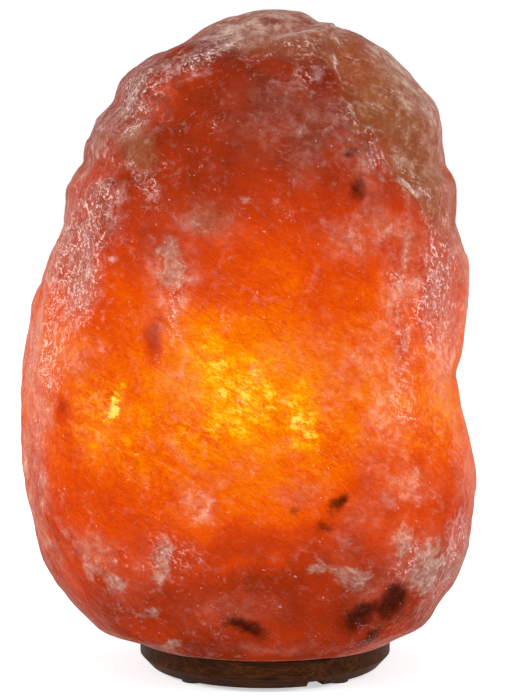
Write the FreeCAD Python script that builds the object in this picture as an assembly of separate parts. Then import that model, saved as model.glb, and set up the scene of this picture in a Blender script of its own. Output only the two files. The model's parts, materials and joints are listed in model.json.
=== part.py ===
import FreeCAD, Part
import math
import os

# Salt crystal lamp. A hewn lump of rock salt stands on a turned wood base. Both are bored from
# below, and a lamp holder with a small bulb is pushed up into them and held by three spring arms.
# Millimetres, +Z up. The origin is on the floor, on the axis of the base and the bulb.
# The front of the lamp faces -Y, and the cord leaves towards +Y.

Vector = FreeCAD.Vector
UP = Vector(0, 0, 1)
FULL_TURN = 360.0

# ---------------------------------------------------------------- driving sizes: feet and base
FOOT_HEIGHT = 2.0
FOOT_RADIUS = 6.0
FOOT_TAPER = 0.6
FOOT_INSET = 2.0            # from the foot to the edge of the base's underside
FOOT_ANGLES = (45.0, 135.0, 225.0, 315.0)

BASE_HEIGHT = 14.0
BASE_BOTTOM_RADIUS = 54.0
BASE_RADIUS = 58.5
BEVEL_HEIGHT = 5.0
BASE_TOP_ROUND = 1.5
BORE_RADIUS = 20.0
PLATE_LEDGE = 4.0           # how far the recess for the clip plate is wider than the bore
PLATE_RECESS = 2.5

CORD_GROOVE_HALF_WIDTH = 4.0
VENT_WIDTH = 8.0
VENT_DEPTH = 2.5
VENT_ANGLE = -65.6          # the small notch low on the right of the front

# ---------------------------------------------------------------- driving sizes: crystal
SEAT_RADIUS = 60.5          # the flat that was sawn for the base
CORE_RISE = 134.0           # from that flat up to the middle that the reaches are measured from
TOP_REACH = 155.0
RIGHT_REACH = 91.0
LEFT_REACH = 110.0
FRONT_REACH = 80.0
BACK_REACH = 82.0
BOXINESS = 0.5              # 0 is an oval section, more is squarer
CAVITY_RADIUS = 26.0
CAVITY_DEPTH = 118.0
CAVITY_DOME = 14.0

# Each side's outline from the top to the edge of the flat, in equal steps of angle, as shares of
# the plain oval through the reaches.
OUTLINE_RIGHT = (1.00, 1.01, 1.06, 1.10, 1.06, 1.04, 1.05, 1.02, 0.98, 1.03, 1.15, 1.22, 1.26)
OUTLINE_LEFT = (1.00, 0.99, 0.96, 0.96, 0.94, 0.91, 0.95, 0.985, 1.02, 1.05, 1.09, 1.13, 1.155)
OUTLINE_FRONT = (1.00, 1.00, 1.01, 1.02, 1.01, 0.99, 0.99, 1.00, 1.02, 1.06, 1.12, 1.19, 1.22)
OUTLINE_BACK = (1.00, 1.00, 1.02, 1.04, 1.03, 1.00, 0.97, 0.98, 1.01, 1.06, 1.13, 1.19, 1.22)

# The large hewn faces: degrees right of the front, degrees up, and how deep the face is cut as
# a share of the usual depth.
FACE_DEPTH = 5.0
HEWN_FACES = (
    (8.0, 2.0, 1.0), (58.0, 6.0, 0.7), (40.0, 40.0, 1.4), (-4.0, 44.0, 1.0),
    (-46.0, 44.0, 1.2), (-50.0, 6.0, 1.2), (-34.0, -36.0, 1.0), (36.0, -38.0, 1.0),
    (5.0, 80.0, 0.8), (176.0, 8.0, 1.2), (124.0, -2.0, 1.2), (-126.0, 10.0, 1.2),
    (164.0, 48.0, 1.2), (-112.0, 46.0, 1.0), (110.0, 42.0, 1.0), (-158.0, -38.0, 1.0),
    (134.0, -36.0, 1.0),
)
CHIP_COUNT = 90             # smaller chips, spread evenly round the whole lump
CHIP_DEPTH = 2.0
CHIP_VARIETY = 0.5          # how much the chips' depths differ, as a share
FACE_CROWN = 24.0           # how far a face or a chip bulges, per unit of 1 - cos(angle off it)
CHIP_CROWN = 60.0
FACE_LIFT = 900.0           # how fast a face leaves the lump further off, per unit squared
FACE_LIMIT = 0.7            # the cosine of the angle past which it has left it
EDGE_SOFTNESS = 3.0         # how much the edges between faces are rounded
COLUMNS = 44
ROWS = 26

# ---------------------------------------------------------------- driving sizes: base screws
SCREW_COUNT = 3
SCREW_START = 30.0
SCREW_MARGIN = 10.0         # from the crystal's bore to the screws' axes
SCREW_RADIUS = 2.0
SCREW_LENGTH = 38.0
SCREW_HEAD_RADIUS = 4.2
SCREW_HEAD_HEIGHT = 2.6
PLUG_RADIUS = 4.0
PLUG_LENGTH = 30.0

# ---------------------------------------------------------------- driving sizes: clip
PLATE_THICKNESS = 0.8
PLATE_SCREW_OFFSET = 8.0
PLATE_SCREW_RADIUS = 1.4
PLATE_SCREW_HEAD = 3.0
PLATE_SCREW_HEAD_HEIGHT = 1.2
PLATE_SCREW_LENGTH = 6.0
LUG_HEIGHT = 2.8
LUG_THICKNESS = 0.8
ARM_WIDTH = 5.0
ARM_THICKNESS = 0.5
ARM_BOW_RISE = 5.0          # from the top of the lug to the arm's widest place
ARM_RISE = 15.0             # from the top of the lug to the arm's tip
ARM_TIP_DRAW = 2.0          # how far the tip lies inside the widest place
ARM_ANGLES = (-90.0, 30.0, 150.0)

# ---------------------------------------------------------------- driving sizes: lamp holder
CAP_RADIUS = 14.2
CAP_HEIGHT = 15.8
CAP_WALL = 2.7
CAP_FLOOR = 1.2
CAP_BOSS_RADIUS = 3.0
CAP_BOSS_HEIGHT = 4.5
INLET_RADIUS = 2.8
INLET_WALL = 1.2
INLET_LENGTH = 5.0
INLET_REACH = 17.5
SHELL_HEIGHT = 26.0
SHELL_WALL = 1.9
SHELL_SHOULDER = 9.0        # from the shell's lower end to the shoulder over the block
SHELL_MOUTH_RADIUS = 9.3
SHELL_TOP_RADIUS = 13.0
SHELL_ROUND = 1.5
BLOCK_POCKET_HEIGHT = 5.5
BLOCK_POCKET_WIDTH = 6.4
POST_HEIGHT = 4.3
POST_WIDTH = 5.8
POST_OUTER = 9.2
POST_INNER = 3.5
STRIP_THICKNESS = 0.5
STRIP_WIDTH = 3.0
SIDE_STUD_OFFSET = 5.3
STUD_RADIUS = 0.9
SCREW_SHELL_RADIUS = 7.15   # inside
SCREW_SHELL_WALL = 0.3
SCREW_SHELL_HEIGHT = 15.3
SCREW_SHELL_FLOOR = 0.4
SCREW_SHELL_HOLE = 3.6
CONTACT_RADIUS = 2.2
CONTACT_HEIGHT = 0.8
SMALL_SCREW_RADIUS = 0.8
SMALL_SCREW_HEAD = 1.5
SMALL_SCREW_HEAD_HEIGHT = 0.8
SMALL_SCREW_LENGTH = 5.0
TERMINAL_SCREW_LENGTH = 3.0

# ---------------------------------------------------------------- driving sizes: bulb
BULB_LENGTH = 98.0
BULB_RADIUS = 17.5
BULB_SWELL_LENGTH = 27.0    # from the skirt to the widest place
BULB_TIP_ROUND = 2.6
TIP_RADIUS = 2.4
TIP_HEIGHT = 0.9
INSULATOR_RADIUS = 3.2
INSULATOR_CONE = 2.1
INSULATOR_COLLAR = 1.4
THREAD_RADIUS = 6.95
THREAD_HEIGHT = 13.3
THREAD_CHAMFER = 0.4
CAP_METAL = 0.5
SKIRT_RADIUS = 8.4
SKIRT_FLARE = 2.2
SKIRT_HEIGHT = 5.0
GLASS_WALL = 0.8
STEM_RADIUS = 2.2
STEM_FLARE_RADIUS = 6.3
STEM_HEIGHT = 21.2
FILAMENT_RISE = 17.0        # from the top of the stem to the filament
FILAMENT_RADIUS = 7.0
FILAMENT_WIRE = 0.35
LEAD_WIRE = 0.3
LEAD_SPREAD = 1.4
SUPPORT_WIRE = 0.2
SUPPORT_ANGLES = (45.0, 90.0, 135.0)

# ---------------------------------------------------------------- clearances
SEAT_GAP = 0.05             # between pieces that are screwed or pushed together
PLATE_GAP = 0.3             # above and round the clip plate
ARM_GAP = 0.6               # between the arms' widest place and the bore
BLOCK_GAP = 0.3             # between the terminal block and the shell
CONTACT_GAP = 0.25          # under the bulb's tip
HOLE_GAP = 0.3              # round a screw that passes through a hole
OVERCUT = 1.0               # how far a cutting shape runs past what it cuts

# ---------------------------------------------------------------- places worked out from them
SEAT_Z = FOOT_HEIGHT + BASE_HEIGHT
CORE_Z = SEAT_Z + CORE_RISE
FOOT_CIRCLE = BASE_BOTTOM_RADIUS - FOOT_INSET - FOOT_RADIUS
RECESS_RADIUS = BORE_RADIUS + PLATE_LEDGE
RECESS_TOP_Z = FOOT_HEIGHT + PLATE_RECESS
SCREW_CIRCLE = CAVITY_RADIUS + SCREW_MARGIN

PLATE_TOP_Z = RECESS_TOP_Z - PLATE_GAP
PLATE_BOTTOM_Z = PLATE_TOP_Z - PLATE_THICKNESS
LUG_TOP_Z = PLATE_TOP_Z + LUG_HEIGHT
ARM_OUTER = BORE_RADIUS - ARM_GAP
ARM_FOOT = ARM_OUTER - ARM_TIP_DRAW + ARM_THICKNESS / 2
LUG_OUTER = ARM_FOOT - ARM_THICKNESS - SEAT_GAP

CAP_TOP_Z = PLATE_TOP_Z + CAP_HEIGHT
CAP_INNER = CAP_RADIUS - CAP_WALL
CAP_FLOOR_Z = PLATE_TOP_Z + CAP_FLOOR
INLET_OUTER = INLET_RADIUS + INLET_WALL
INLET_Z = PLATE_TOP_Z + INLET_OUTER
SHELL_TOP_Z = CAP_TOP_Z + SHELL_HEIGHT
SHELL_INNER = CAP_RADIUS - SHELL_WALL
SHOULDER_Z = CAP_TOP_Z + SHELL_SHOULDER
BLOCK_RADIUS = SHELL_INNER - BLOCK_GAP
BLOCK_BOTTOM_Z = CAP_TOP_Z + SEAT_GAP
BLOCK_TOP_Z = SHOULDER_Z - SEAT_GAP
POCKET_TOP_Z = BLOCK_BOTTOM_Z + BLOCK_POCKET_HEIGHT
STRIP_TOP_Z = POCKET_TOP_Z - SEAT_GAP
STRIP_BOTTOM_Z = STRIP_TOP_Z - STRIP_THICKNESS
POST_TOP_Z = STRIP_BOTTOM_Z - SEAT_GAP
POST_BOTTOM_Z = POST_TOP_Z - POST_HEIGHT
SCREW_SHELL_FLOOR_Z = SHOULDER_Z + SCREW_SHELL_FLOOR
CONTACT_TOP_Z = SHOULDER_Z + CONTACT_HEIGHT

TIP_Z = CONTACT_TOP_Z + CONTACT_GAP
INSULATOR_Z = TIP_Z + TIP_HEIGHT
THREAD_Z = INSULATOR_Z + INSULATOR_CONE
THREAD_TOP_Z = THREAD_Z + THREAD_HEIGHT
SKIRT_Z = THREAD_TOP_Z + SKIRT_FLARE
SKIRT_TOP_Z = SKIRT_Z + SKIRT_HEIGHT
NECK_RADIUS = SKIRT_RADIUS - CAP_METAL - SEAT_GAP
NECK_Z = SKIRT_Z + CAP_METAL
BULB_TOP_Z = TIP_Z + BULB_LENGTH
STEM_TOP_Z = NECK_Z + STEM_HEIGHT
LEAD_Z = STEM_TOP_Z + SEAT_GAP
FILAMENT_Z = STEM_TOP_Z + FILAMENT_RISE


# ---------------------------------------------------------------- making shapes
def disc(radius, bottom, top, x=0.0, y=0.0):
    """An upright cylinder from one height to another."""
    return Part.makeCylinder(radius, top - bottom, Vector(x, y, bottom), UP)


def block(x_span, y_span, z_span):
    """A box from its lowest to its highest x, y and z."""
    corner = Vector(x_span[0], y_span[0], z_span[0])
    return Part.makeBox(x_span[1] - x_span[0], y_span[1] - y_span[0], z_span[1] - z_span[0], corner)


def turned(*profile):
    """A solid turned about Z. Each step is the next (radius, height), or for an arc the
    (radius, height) it passes through and the one it ends at."""
    start = Vector(profile[0][0], 0, profile[0][1])
    edges = []
    for step in profile[1:] + profile[:1]:
        if isinstance(step[0], tuple):
            middle = Vector(step[0][0], 0, step[0][1])
            end = Vector(step[1][0], 0, step[1][1])
            edges.append(Part.Arc(start, middle, end).toShape())
        else:
            end = Vector(step[0], 0, step[1])
            edges.append(Part.makeLine(start, end))
        start = end
    return Part.Face(Part.Wire(edges)).revolve(Vector(0, 0, 0), UP, FULL_TURN)


def arc_about(out, height, radius, first, last):
    """An arc in the plane of a profile, round (out, height), between two angles above level."""
    points = [Vector(out + radius * math.cos(angle), 0, height + radius * math.sin(angle))
              for angle in (first, (first + last) / 2, last)]
    return Part.Arc(*points).toShape()


def dome_middle(radius, height):
    """Halfway along a round dome, from its pole to its rim: how far out, and how far from the
    pole along the axis."""
    sphere = (radius ** 2 + height ** 2) / (2 * height)
    half = math.asin(radius / sphere) / 2
    return sphere * math.sin(half), sphere * (1 - math.cos(half))


def placed_round(shape, angle):
    """A copy of a shape, turned about Z."""
    copy = shape.copy()
    copy.rotate(Vector(0, 0, 0), UP, angle)
    return copy


def rod(start, end, radius):
    """A straight wire between two points."""
    return Part.makeCylinder(radius, (end - start).Length, start, end - start)


def cross_recess(head_radius, depth, face_z):
    """The two slots of a cross-head screw, cut upwards from its face."""
    arm = head_radius * 0.6
    half = head_radius * 0.12
    span = (face_z - OVERCUT, face_z + depth)
    return block((-arm, arm), (-half, half), span).fuse(block((-half, half), (-arm, arm), span))


def pan_screw(head_radius, head_height, radius, length, face_z):
    """A small screw, head down: its face at face_z, its shank upwards."""
    shank_z = face_z + head_height
    body = disc(head_radius, face_z, shank_z).fuse(disc(radius, shank_z, shank_z + length))
    return body.cut(cross_recess(head_radius, head_height * 0.6, face_z))


def countersunk(head_radius, radius, face_z, tip_z):
    """A countersunk screw, head down, or the hole for one."""
    neck_z = face_z + SCREW_HEAD_HEIGHT
    return turned((0, face_z), (head_radius, face_z), (radius, neck_z), (radius, tip_z), (0, tip_z))


def screw_angles():
    """Where the base screws stand round the axis."""
    return [SCREW_START + FULL_TURN * number / SCREW_COUNT for number in range(SCREW_COUNT)]


# ---------------------------------------------------------------- crystal's surface
def direction(polar, azimuth):
    """A unit vector at an angle from straight up and an angle round from +X."""
    return Vector(math.sin(polar) * math.cos(azimuth), math.sin(polar) * math.sin(azimuth),
                  math.cos(polar))


def lowest_polar():
    """The angle from straight up to the edge of the sawn flat."""
    return math.pi - math.atan2(SEAT_RADIUS, CORE_RISE)


def outline_reach(polar, side_reach, shares):
    """How far one side's outline lies from the middle. A smooth curve through the shares
    multiplies a plain oval, and the last point is the edge of the sawn flat."""
    upright = TOP_REACH if polar < math.pi / 2 else CORE_RISE
    oval = 1 / math.hypot(math.cos(polar) / upright, math.sin(polar) / side_reach)
    end = lowest_polar()
    end_oval = 1 / math.hypot(math.cos(end) / CORE_RISE, math.sin(end) / side_reach)
    knots = shares + (math.hypot(SEAT_RADIUS, CORE_RISE) / end_oval,)
    place = polar / end * (len(knots) - 1)
    step = min(int(place), len(knots) - 2)
    along = place - step
    before = knots[max(step - 1, 0)]
    after = knots[min(step + 2, len(knots) - 1)]
    here = knots[step]
    there = knots[step + 1]
    bend = 2 * before - 5 * here + 4 * there - after
    twist = 3 * (here - there) + after - before
    share = here + 0.5 * along * ((there - before) + along * (bend + along * twist))
    return oval * share


def body_reach(polar, azimuth):
    """The lump before it is hewn: between two outlines the section is a squared oval."""
    across = math.cos(azimuth)
    deep = math.sin(azimuth)
    side = (RIGHT_REACH, OUTLINE_RIGHT) if across >= 0 else (LEFT_REACH, OUTLINE_LEFT)
    face = (BACK_REACH, OUTLINE_BACK) if deep >= 0 else (FRONT_REACH, OUTLINE_FRONT)
    power = 2 + BOXINESS * math.sin(polar) ** 2
    wide = abs(across) / outline_reach(polar, *side)
    thick = abs(deep) / outline_reach(polar, *face)
    return (wide ** power + thick ** power) ** (-1 / power)


def tangent_plane(polar, azimuth, depth):
    """A plane that faces out of the plain oval at one place and is sunk into the lump there:
    its normal and how far it is from the middle."""
    ray = direction(polar, azimuth)
    across = RIGHT_REACH if ray.x >= 0 else LEFT_REACH
    deep = BACK_REACH if ray.y >= 0 else FRONT_REACH
    upright = TOP_REACH if ray.z >= 0 else CORE_RISE
    normal = Vector(ray.x / across ** 2, ray.y / deep ** 2, ray.z / upright ** 2)
    normal.normalize()
    return normal, normal.dot(ray) * body_reach(polar, azimuth) - depth


def hewn_planes():
    """Every face and chip as (normal, distance, crown): the large faces as listed, and the
    chips on a golden spiral from the top down to the sawn flat."""
    planes = []
    for right_of_front, up, depth in HEWN_FACES:
        polar = math.radians(90 - up)
        azimuth = math.radians(right_of_front - 90)
        planes.append(tangent_plane(polar, azimuth, FACE_DEPTH * depth) + (FACE_CROWN,))
    lowest = math.cos(lowest_polar())
    golden = math.pi * (3 - math.sqrt(5))
    for number in range(CHIP_COUNT):
        polar = math.acos(1 - (1 - lowest) * (number + 0.5) / CHIP_COUNT)
        depth = CHIP_DEPTH * (1 + CHIP_VARIETY * math.sin(2.7 * number))
        planes.append(tangent_plane(polar, golden * number, depth) + (CHIP_CROWN,))
    return planes


def soft_min(first, second, softness):
    """The smaller of two lengths, rounded where they are nearly equal."""
    overlap = max(softness - abs(first - second), 0) / softness
    return min(first, second) - overlap ** 2 * softness / 4


def crystal_point(polar, azimuth, planes):
    """A point of the hewn surface: the lump, cut back by each plane that faces that way."""
    ray = direction(polar, azimuth)
    reach = body_reach(polar, azimuth)
    for normal, distance, crown in planes:
        facing = normal.dot(ray)
        if facing > FACE_LIMIT:
            lift = crown * (1 - facing) + FACE_LIFT * (1 - facing) ** 2
            reach = soft_min(reach, distance / facing + lift, EDGE_SOFTNESS)
    return Vector(0, 0, CORE_Z) + ray * reach


def crystal_lump():
    """The hewn lump as a closed solid of flat triangles on a sawn flat."""
    planes = hewn_planes()
    points = [crystal_point(0.0, 0.0, planes)]
    for row in range(1, ROWS + 1):
        polar = lowest_polar() * row / ROWS
        for column in range(COLUMNS):
            point = crystal_point(polar, 2 * math.pi * column / COLUMNS, planes)
            point.z = SEAT_Z if row == ROWS else max(point.z, SEAT_Z)
            points.append(point)
    triangles = []
    for column in range(COLUMNS):
        following = (column + 1) % COLUMNS
        triangles.append((0, 1 + column, 1 + following))
        for row in range(ROWS - 1):
            upper = 1 + row * COLUMNS
            lower = upper + COLUMNS
            triangles.append((upper + column, lower + column, lower + following))
            triangles.append((upper + column, lower + following, upper + following))
    skin = Part.Shape()
    skin.makeShapeFromMesh((points, triangles), 0.001, False)
    edge = points[-COLUMNS:]
    flat = Part.Face(Part.makePolygon(edge + edge[:1]))
    shell = Part.Shell(skin.Faces + [flat])
    shell.sewShape()
    lump = Part.Solid(shell)
    if lump.Volume < 0:
        lump.reverse()
    return lump


# ---------------------------------------------------------------- crystal and base
def salt_crystal():
    """The lump with its bore, domed at the top, and the holes for the plugs."""
    wall_z = SEAT_Z + CAVITY_DEPTH
    crown_z = wall_z + CAVITY_DOME
    out, drop = dome_middle(CAVITY_RADIUS, CAVITY_DOME)
    bore = turned((0, SEAT_Z - OVERCUT), (CAVITY_RADIUS, SEAT_Z - OVERCUT), (CAVITY_RADIUS, wall_z),
                  ((out, crown_z - drop), (0, crown_z)))
    crystal = crystal_lump().cut(bore)
    hole = disc(PLUG_RADIUS + SEAT_GAP, SEAT_Z - OVERCUT, SEAT_Z + PLUG_LENGTH + SEAT_GAP, SCREW_CIRCLE)
    for angle in screw_angles():
        crystal = crystal.cut(placed_round(hole, angle))
    return crystal


def wood_base():
    """The turned disc, its bore and recess, the grooves under it and the screw holes."""
    bevel_z = FOOT_HEIGHT + BEVEL_HEIGHT
    round_start = SEAT_Z - BASE_TOP_ROUND
    lean = BASE_TOP_ROUND * (1 - math.cos(math.pi / 4))
    base = turned((BORE_RADIUS, FOOT_HEIGHT), (BASE_BOTTOM_RADIUS, FOOT_HEIGHT), (BASE_RADIUS, bevel_z),
                  (BASE_RADIUS, round_start),
                  ((BASE_RADIUS - lean, SEAT_Z - lean), (BASE_RADIUS - BASE_TOP_ROUND, SEAT_Z)),
                  (BORE_RADIUS, SEAT_Z))
    low = FOOT_HEIGHT - OVERCUT
    edge = BASE_RADIUS + OVERCUT
    half = CORD_GROOVE_HALF_WIDTH
    base = base.cut(disc(RECESS_RADIUS, low, RECESS_TOP_Z))
    base = base.cut(block((-half, half), (0, edge), (low, INLET_Z)))
    base = base.cut(Part.makeCylinder(half, edge, Vector(0, 0, INLET_Z), Vector(0, 1, 0)))
    vent = block((RECESS_RADIUS - OVERCUT, edge), (-VENT_WIDTH / 2, VENT_WIDTH / 2),
                 (low, FOOT_HEIGHT + VENT_DEPTH))
    base = base.cut(placed_round(vent, VENT_ANGLE))
    hole = countersunk(SCREW_HEAD_RADIUS + HOLE_GAP, SCREW_RADIUS + HOLE_GAP, FOOT_HEIGHT,
                       SEAT_Z + OVERCUT)
    hole.translate(Vector(SCREW_CIRCLE, 0, 0))
    for angle in screw_angles():
        base = base.cut(placed_round(hole, angle))
    return base


def rubber_feet():
    """Round feet with tapered sides, set in from the edge."""
    foot = turned((0, 0), (FOOT_RADIUS - FOOT_TAPER, 0), (FOOT_RADIUS, FOOT_HEIGHT), (0, FOOT_HEIGHT))
    foot.translate(Vector(FOOT_CIRCLE, 0, 0))
    return [placed_round(foot, angle) for angle in FOOT_ANGLES]


def base_screws():
    """Countersunk screws from below, through the base into the plugs."""
    screw = countersunk(SCREW_HEAD_RADIUS, SCREW_RADIUS, FOOT_HEIGHT, FOOT_HEIGHT + SCREW_LENGTH)
    screw = screw.cut(cross_recess(SCREW_HEAD_RADIUS, SCREW_HEAD_HEIGHT * 0.6, FOOT_HEIGHT))
    screw.translate(Vector(SCREW_CIRCLE, 0, 0))
    return [placed_round(screw, angle) for angle in screw_angles()]


def screw_plugs():
    """Nylon plugs in the crystal, bored for the screws."""
    plug = disc(PLUG_RADIUS, SEAT_Z, SEAT_Z + PLUG_LENGTH, SCREW_CIRCLE)
    bore = disc(SCREW_RADIUS + SEAT_GAP, SEAT_Z - OVERCUT, FOOT_HEIGHT + SCREW_LENGTH + OVERCUT, SCREW_CIRCLE)
    plug = plug.cut(bore)
    return [placed_round(plug, angle) for angle in screw_angles()]


# ---------------------------------------------------------------- clip
def clip_plate():
    """The flange in the base's recess, with a lug for each arm."""
    plate = disc(RECESS_RADIUS - PLATE_GAP * 3, PLATE_BOTTOM_Z, PLATE_TOP_Z)
    lug = block((LUG_OUTER - LUG_THICKNESS, LUG_OUTER), (-ARM_WIDTH / 2, ARM_WIDTH / 2),
                (PLATE_BOTTOM_Z, LUG_TOP_Z))
    for angle in ARM_ANGLES:
        plate = plate.fuse(placed_round(lug, angle))
    for side in (-1, 1):
        hole = disc(PLATE_SCREW_RADIUS + SEAT_GAP, PLATE_BOTTOM_Z - OVERCUT, PLATE_TOP_Z + OVERCUT,
                    side * PLATE_SCREW_OFFSET)
        plate = plate.cut(hole)
    return plate.removeSplitter()


def plate_screws():
    """The two screws from below, through the plate into the cap's bosses."""
    face_z = PLATE_BOTTOM_Z - PLATE_SCREW_HEAD_HEIGHT
    screws = []
    for side in (-1, 1):
        screw = pan_screw(PLATE_SCREW_HEAD, PLATE_SCREW_HEAD_HEIGHT, PLATE_SCREW_RADIUS,
                          PLATE_SCREW_LENGTH, face_z)
        screw.translate(Vector(side * PLATE_SCREW_OFFSET, 0, 0))
        screws.append(screw)
    return screws


def clip_arm(angle):
    """A strip of spring steel: a flat foot on the outside of the lug, then a bow that reaches
    the bore and comes in again at its tip."""
    half = ARM_WIDTH / 2
    foot_z = PLATE_TOP_Z + PLATE_GAP
    bow_z = LUG_TOP_Z + ARM_BOW_RISE
    tip_z = LUG_TOP_Z + ARM_RISE
    tip = ARM_OUTER - ARM_TIP_DRAW
    outer = [Vector(ARM_FOOT, -half, LUG_TOP_Z), Vector(ARM_OUTER, -half, bow_z), Vector(tip, -half, tip_z)]
    inner = [point - Vector(ARM_THICKNESS, 0, 0) for point in outer]
    feet = [Vector(ARM_FOOT, -half, foot_z), Vector(ARM_FOOT - ARM_THICKNESS, -half, foot_z)]
    edges = [
        Part.makeLine(feet[1], feet[0]),
        Part.makeLine(feet[0], outer[0]),
        Part.Arc(*outer).toShape(),
        Part.makeLine(outer[2], inner[2]),
        Part.Arc(inner[2], inner[1], inner[0]).toShape(),
        Part.makeLine(inner[0], feet[1]),
    ]
    strip = Part.Face(Part.Wire(edges)).extrude(Vector(0, ARM_WIDTH, 0))
    return placed_round(strip, angle)


# ---------------------------------------------------------------- lamp holder
def holder_cap():
    """The lower cup, with the cord inlet in its side and two bosses for the plate's screws."""
    cap = turned((0, PLATE_TOP_Z), (CAP_RADIUS, PLATE_TOP_Z), (CAP_RADIUS, CAP_TOP_Z), (CAP_INNER, CAP_TOP_Z),
                 (CAP_INNER, CAP_FLOOR_Z), (0, CAP_FLOOR_Z))
    for side in (-1, 1):
        x = side * PLATE_SCREW_OFFSET
        cap = cap.fuse(disc(CAP_BOSS_RADIUS, PLATE_TOP_Z, CAP_FLOOR_Z + CAP_BOSS_HEIGHT, x))
        cap = cap.cut(disc(PLATE_SCREW_RADIUS + SEAT_GAP, PLATE_TOP_Z - OVERCUT,
                           PLATE_BOTTOM_Z + PLATE_SCREW_LENGTH + OVERCUT, x))
    inlet_start = INLET_REACH - INLET_LENGTH
    spout = Part.makeCylinder(INLET_OUTER, INLET_LENGTH, Vector(0, inlet_start, INLET_Z), Vector(0, 1, 0))
    cap = cap.fuse(spout)
    cap = cap.cut(block((-INLET_OUTER, INLET_OUTER), (CAP_INNER - OVERCUT * 3, inlet_start),
                        (CAP_FLOOR_Z, INLET_Z + INLET_OUTER)))
    bore = Part.makeCylinder(INLET_RADIUS, INLET_LENGTH + OVERCUT * 2,
                             Vector(0, inlet_start - OVERCUT, INLET_Z), Vector(0, 1, 0))
    return cap.cut(bore)


def holder_shell():
    """The upper tube: a chamber over the block, a shoulder, and a mouth for the bulb's cap."""
    taper_z = SHOULDER_Z + OVERCUT
    lean = SHELL_ROUND * (1 - math.cos(math.pi / 4))
    top = SHELL_TOP_RADIUS
    return turned((SHELL_INNER, CAP_TOP_Z), (CAP_RADIUS, CAP_TOP_Z), (CAP_RADIUS, taper_z),
                  (top, SHELL_TOP_Z - SHELL_ROUND),
                  ((top - lean, SHELL_TOP_Z - lean), (top - SHELL_ROUND, SHELL_TOP_Z)),
                  (SHELL_MOUTH_RADIUS, SHELL_TOP_Z), (SHELL_MOUTH_RADIUS, SHOULDER_Z),
                  (SHELL_INNER, SHOULDER_Z))


def terminal_block():
    """The insulating block between cap and shell, with a pocket for each terminal."""
    half = BLOCK_POCKET_WIDTH / 2
    outer = POST_OUTER + HOLE_GAP
    low = BLOCK_BOTTOM_Z - OVERCUT
    insert = disc(BLOCK_RADIUS, BLOCK_BOTTOM_Z, BLOCK_TOP_Z)
    insert = insert.cut(block((-outer, CONTACT_RADIUS - HOLE_GAP), (-half, half), (low, POCKET_TOP_Z)))
    insert = insert.cut(block((POST_INNER - HOLE_GAP, outer), (-half, half), (low, POCKET_TOP_Z)))
    for x in (0, SIDE_STUD_OFFSET):
        insert = insert.cut(disc(STUD_RADIUS + SEAT_GAP, POCKET_TOP_Z - OVERCUT, BLOCK_TOP_Z + OVERCUT, x))
    for side in (-1, 1):
        insert = insert.cut(disc(SMALL_SCREW_RADIUS + SEAT_GAP, BLOCK_TOP_Z - SMALL_SCREW_LENGTH - OVERCUT,
                                 BLOCK_TOP_Z + OVERCUT, 0, side * SIDE_STUD_OFFSET))
    return insert


def terminal_posts():
    """Two brass blocks, each with a hole for a wire and one for its screw."""
    posts = []
    middle = (POST_INNER + POST_OUTER) / 2
    offset = (POST_OUTER - POST_INNER) / 4
    for side in (-1, 1):
        span = sorted((side * POST_INNER, side * POST_OUTER))
        post = block(span, (-POST_WIDTH / 2, POST_WIDTH / 2), (POST_BOTTOM_Z, POST_TOP_Z))
        post = post.cut(disc(SMALL_SCREW_RADIUS + SEAT_GAP, POST_BOTTOM_Z - OVERCUT,
                             POST_BOTTOM_Z + TERMINAL_SCREW_LENGTH + SEAT_GAP, side * (middle - offset)))
        post = post.cut(disc(SMALL_SCREW_RADIUS + HOLE_GAP, POST_BOTTOM_Z - OVERCUT,
                             POST_BOTTOM_Z + TERMINAL_SCREW_LENGTH, side * (middle + offset)))
        posts.append(post)
    return posts


def terminal_screws():
    """One small screw in each terminal post, from below."""
    screws = []
    offset = (POST_INNER + POST_OUTER) / 2 - (POST_OUTER - POST_INNER) / 4
    for side in (-1, 1):
        screw = pan_screw(SMALL_SCREW_HEAD * 0.9, SMALL_SCREW_HEAD_HEIGHT, SMALL_SCREW_RADIUS,
                          TERMINAL_SCREW_LENGTH, POST_BOTTOM_Z - SMALL_SCREW_HEAD_HEIGHT)
        screw.translate(Vector(side * offset, 0, 0))
        screws.append(screw)
    return screws


def contact(strip_span, stud_x, stud_top):
    """A strip on top of a terminal post, with a stud up through the block."""
    half = STRIP_WIDTH / 2
    strip = block(strip_span, (-half, half), (STRIP_BOTTOM_Z, STRIP_TOP_Z))
    return strip.fuse(disc(STUD_RADIUS, STRIP_BOTTOM_Z, stud_top, stud_x)).removeSplitter()


def centre_contact():
    """The contact under the bulb's tip, from the left post."""
    button = disc(CONTACT_RADIUS, SHOULDER_Z, CONTACT_TOP_Z)
    return contact((-POST_OUTER, STRIP_WIDTH / 2), 0.0, CONTACT_TOP_Z).fuse(button).removeSplitter()


def side_contact():
    """The contact that reaches the screw shell, from the right post."""
    return contact((POST_INNER, POST_OUTER), SIDE_STUD_OFFSET, SHOULDER_Z)


def screw_shell():
    """The brass tube that the bulb screws in, with a floor that is screwed to the block."""
    outer = SCREW_SHELL_RADIUS + SCREW_SHELL_WALL
    top = SHOULDER_Z + SCREW_SHELL_HEIGHT
    shell = turned((SCREW_SHELL_HOLE, SHOULDER_Z), (outer, SHOULDER_Z), (outer, top), (SCREW_SHELL_RADIUS, top),
                   (SCREW_SHELL_RADIUS, SCREW_SHELL_FLOOR_Z), (SCREW_SHELL_HOLE, SCREW_SHELL_FLOOR_Z))
    for side in (-1, 1):
        shell = shell.cut(disc(SMALL_SCREW_RADIUS + SEAT_GAP, SHOULDER_Z - OVERCUT,
                               SCREW_SHELL_FLOOR_Z + OVERCUT, 0, side * SIDE_STUD_OFFSET))
    return shell


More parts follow.
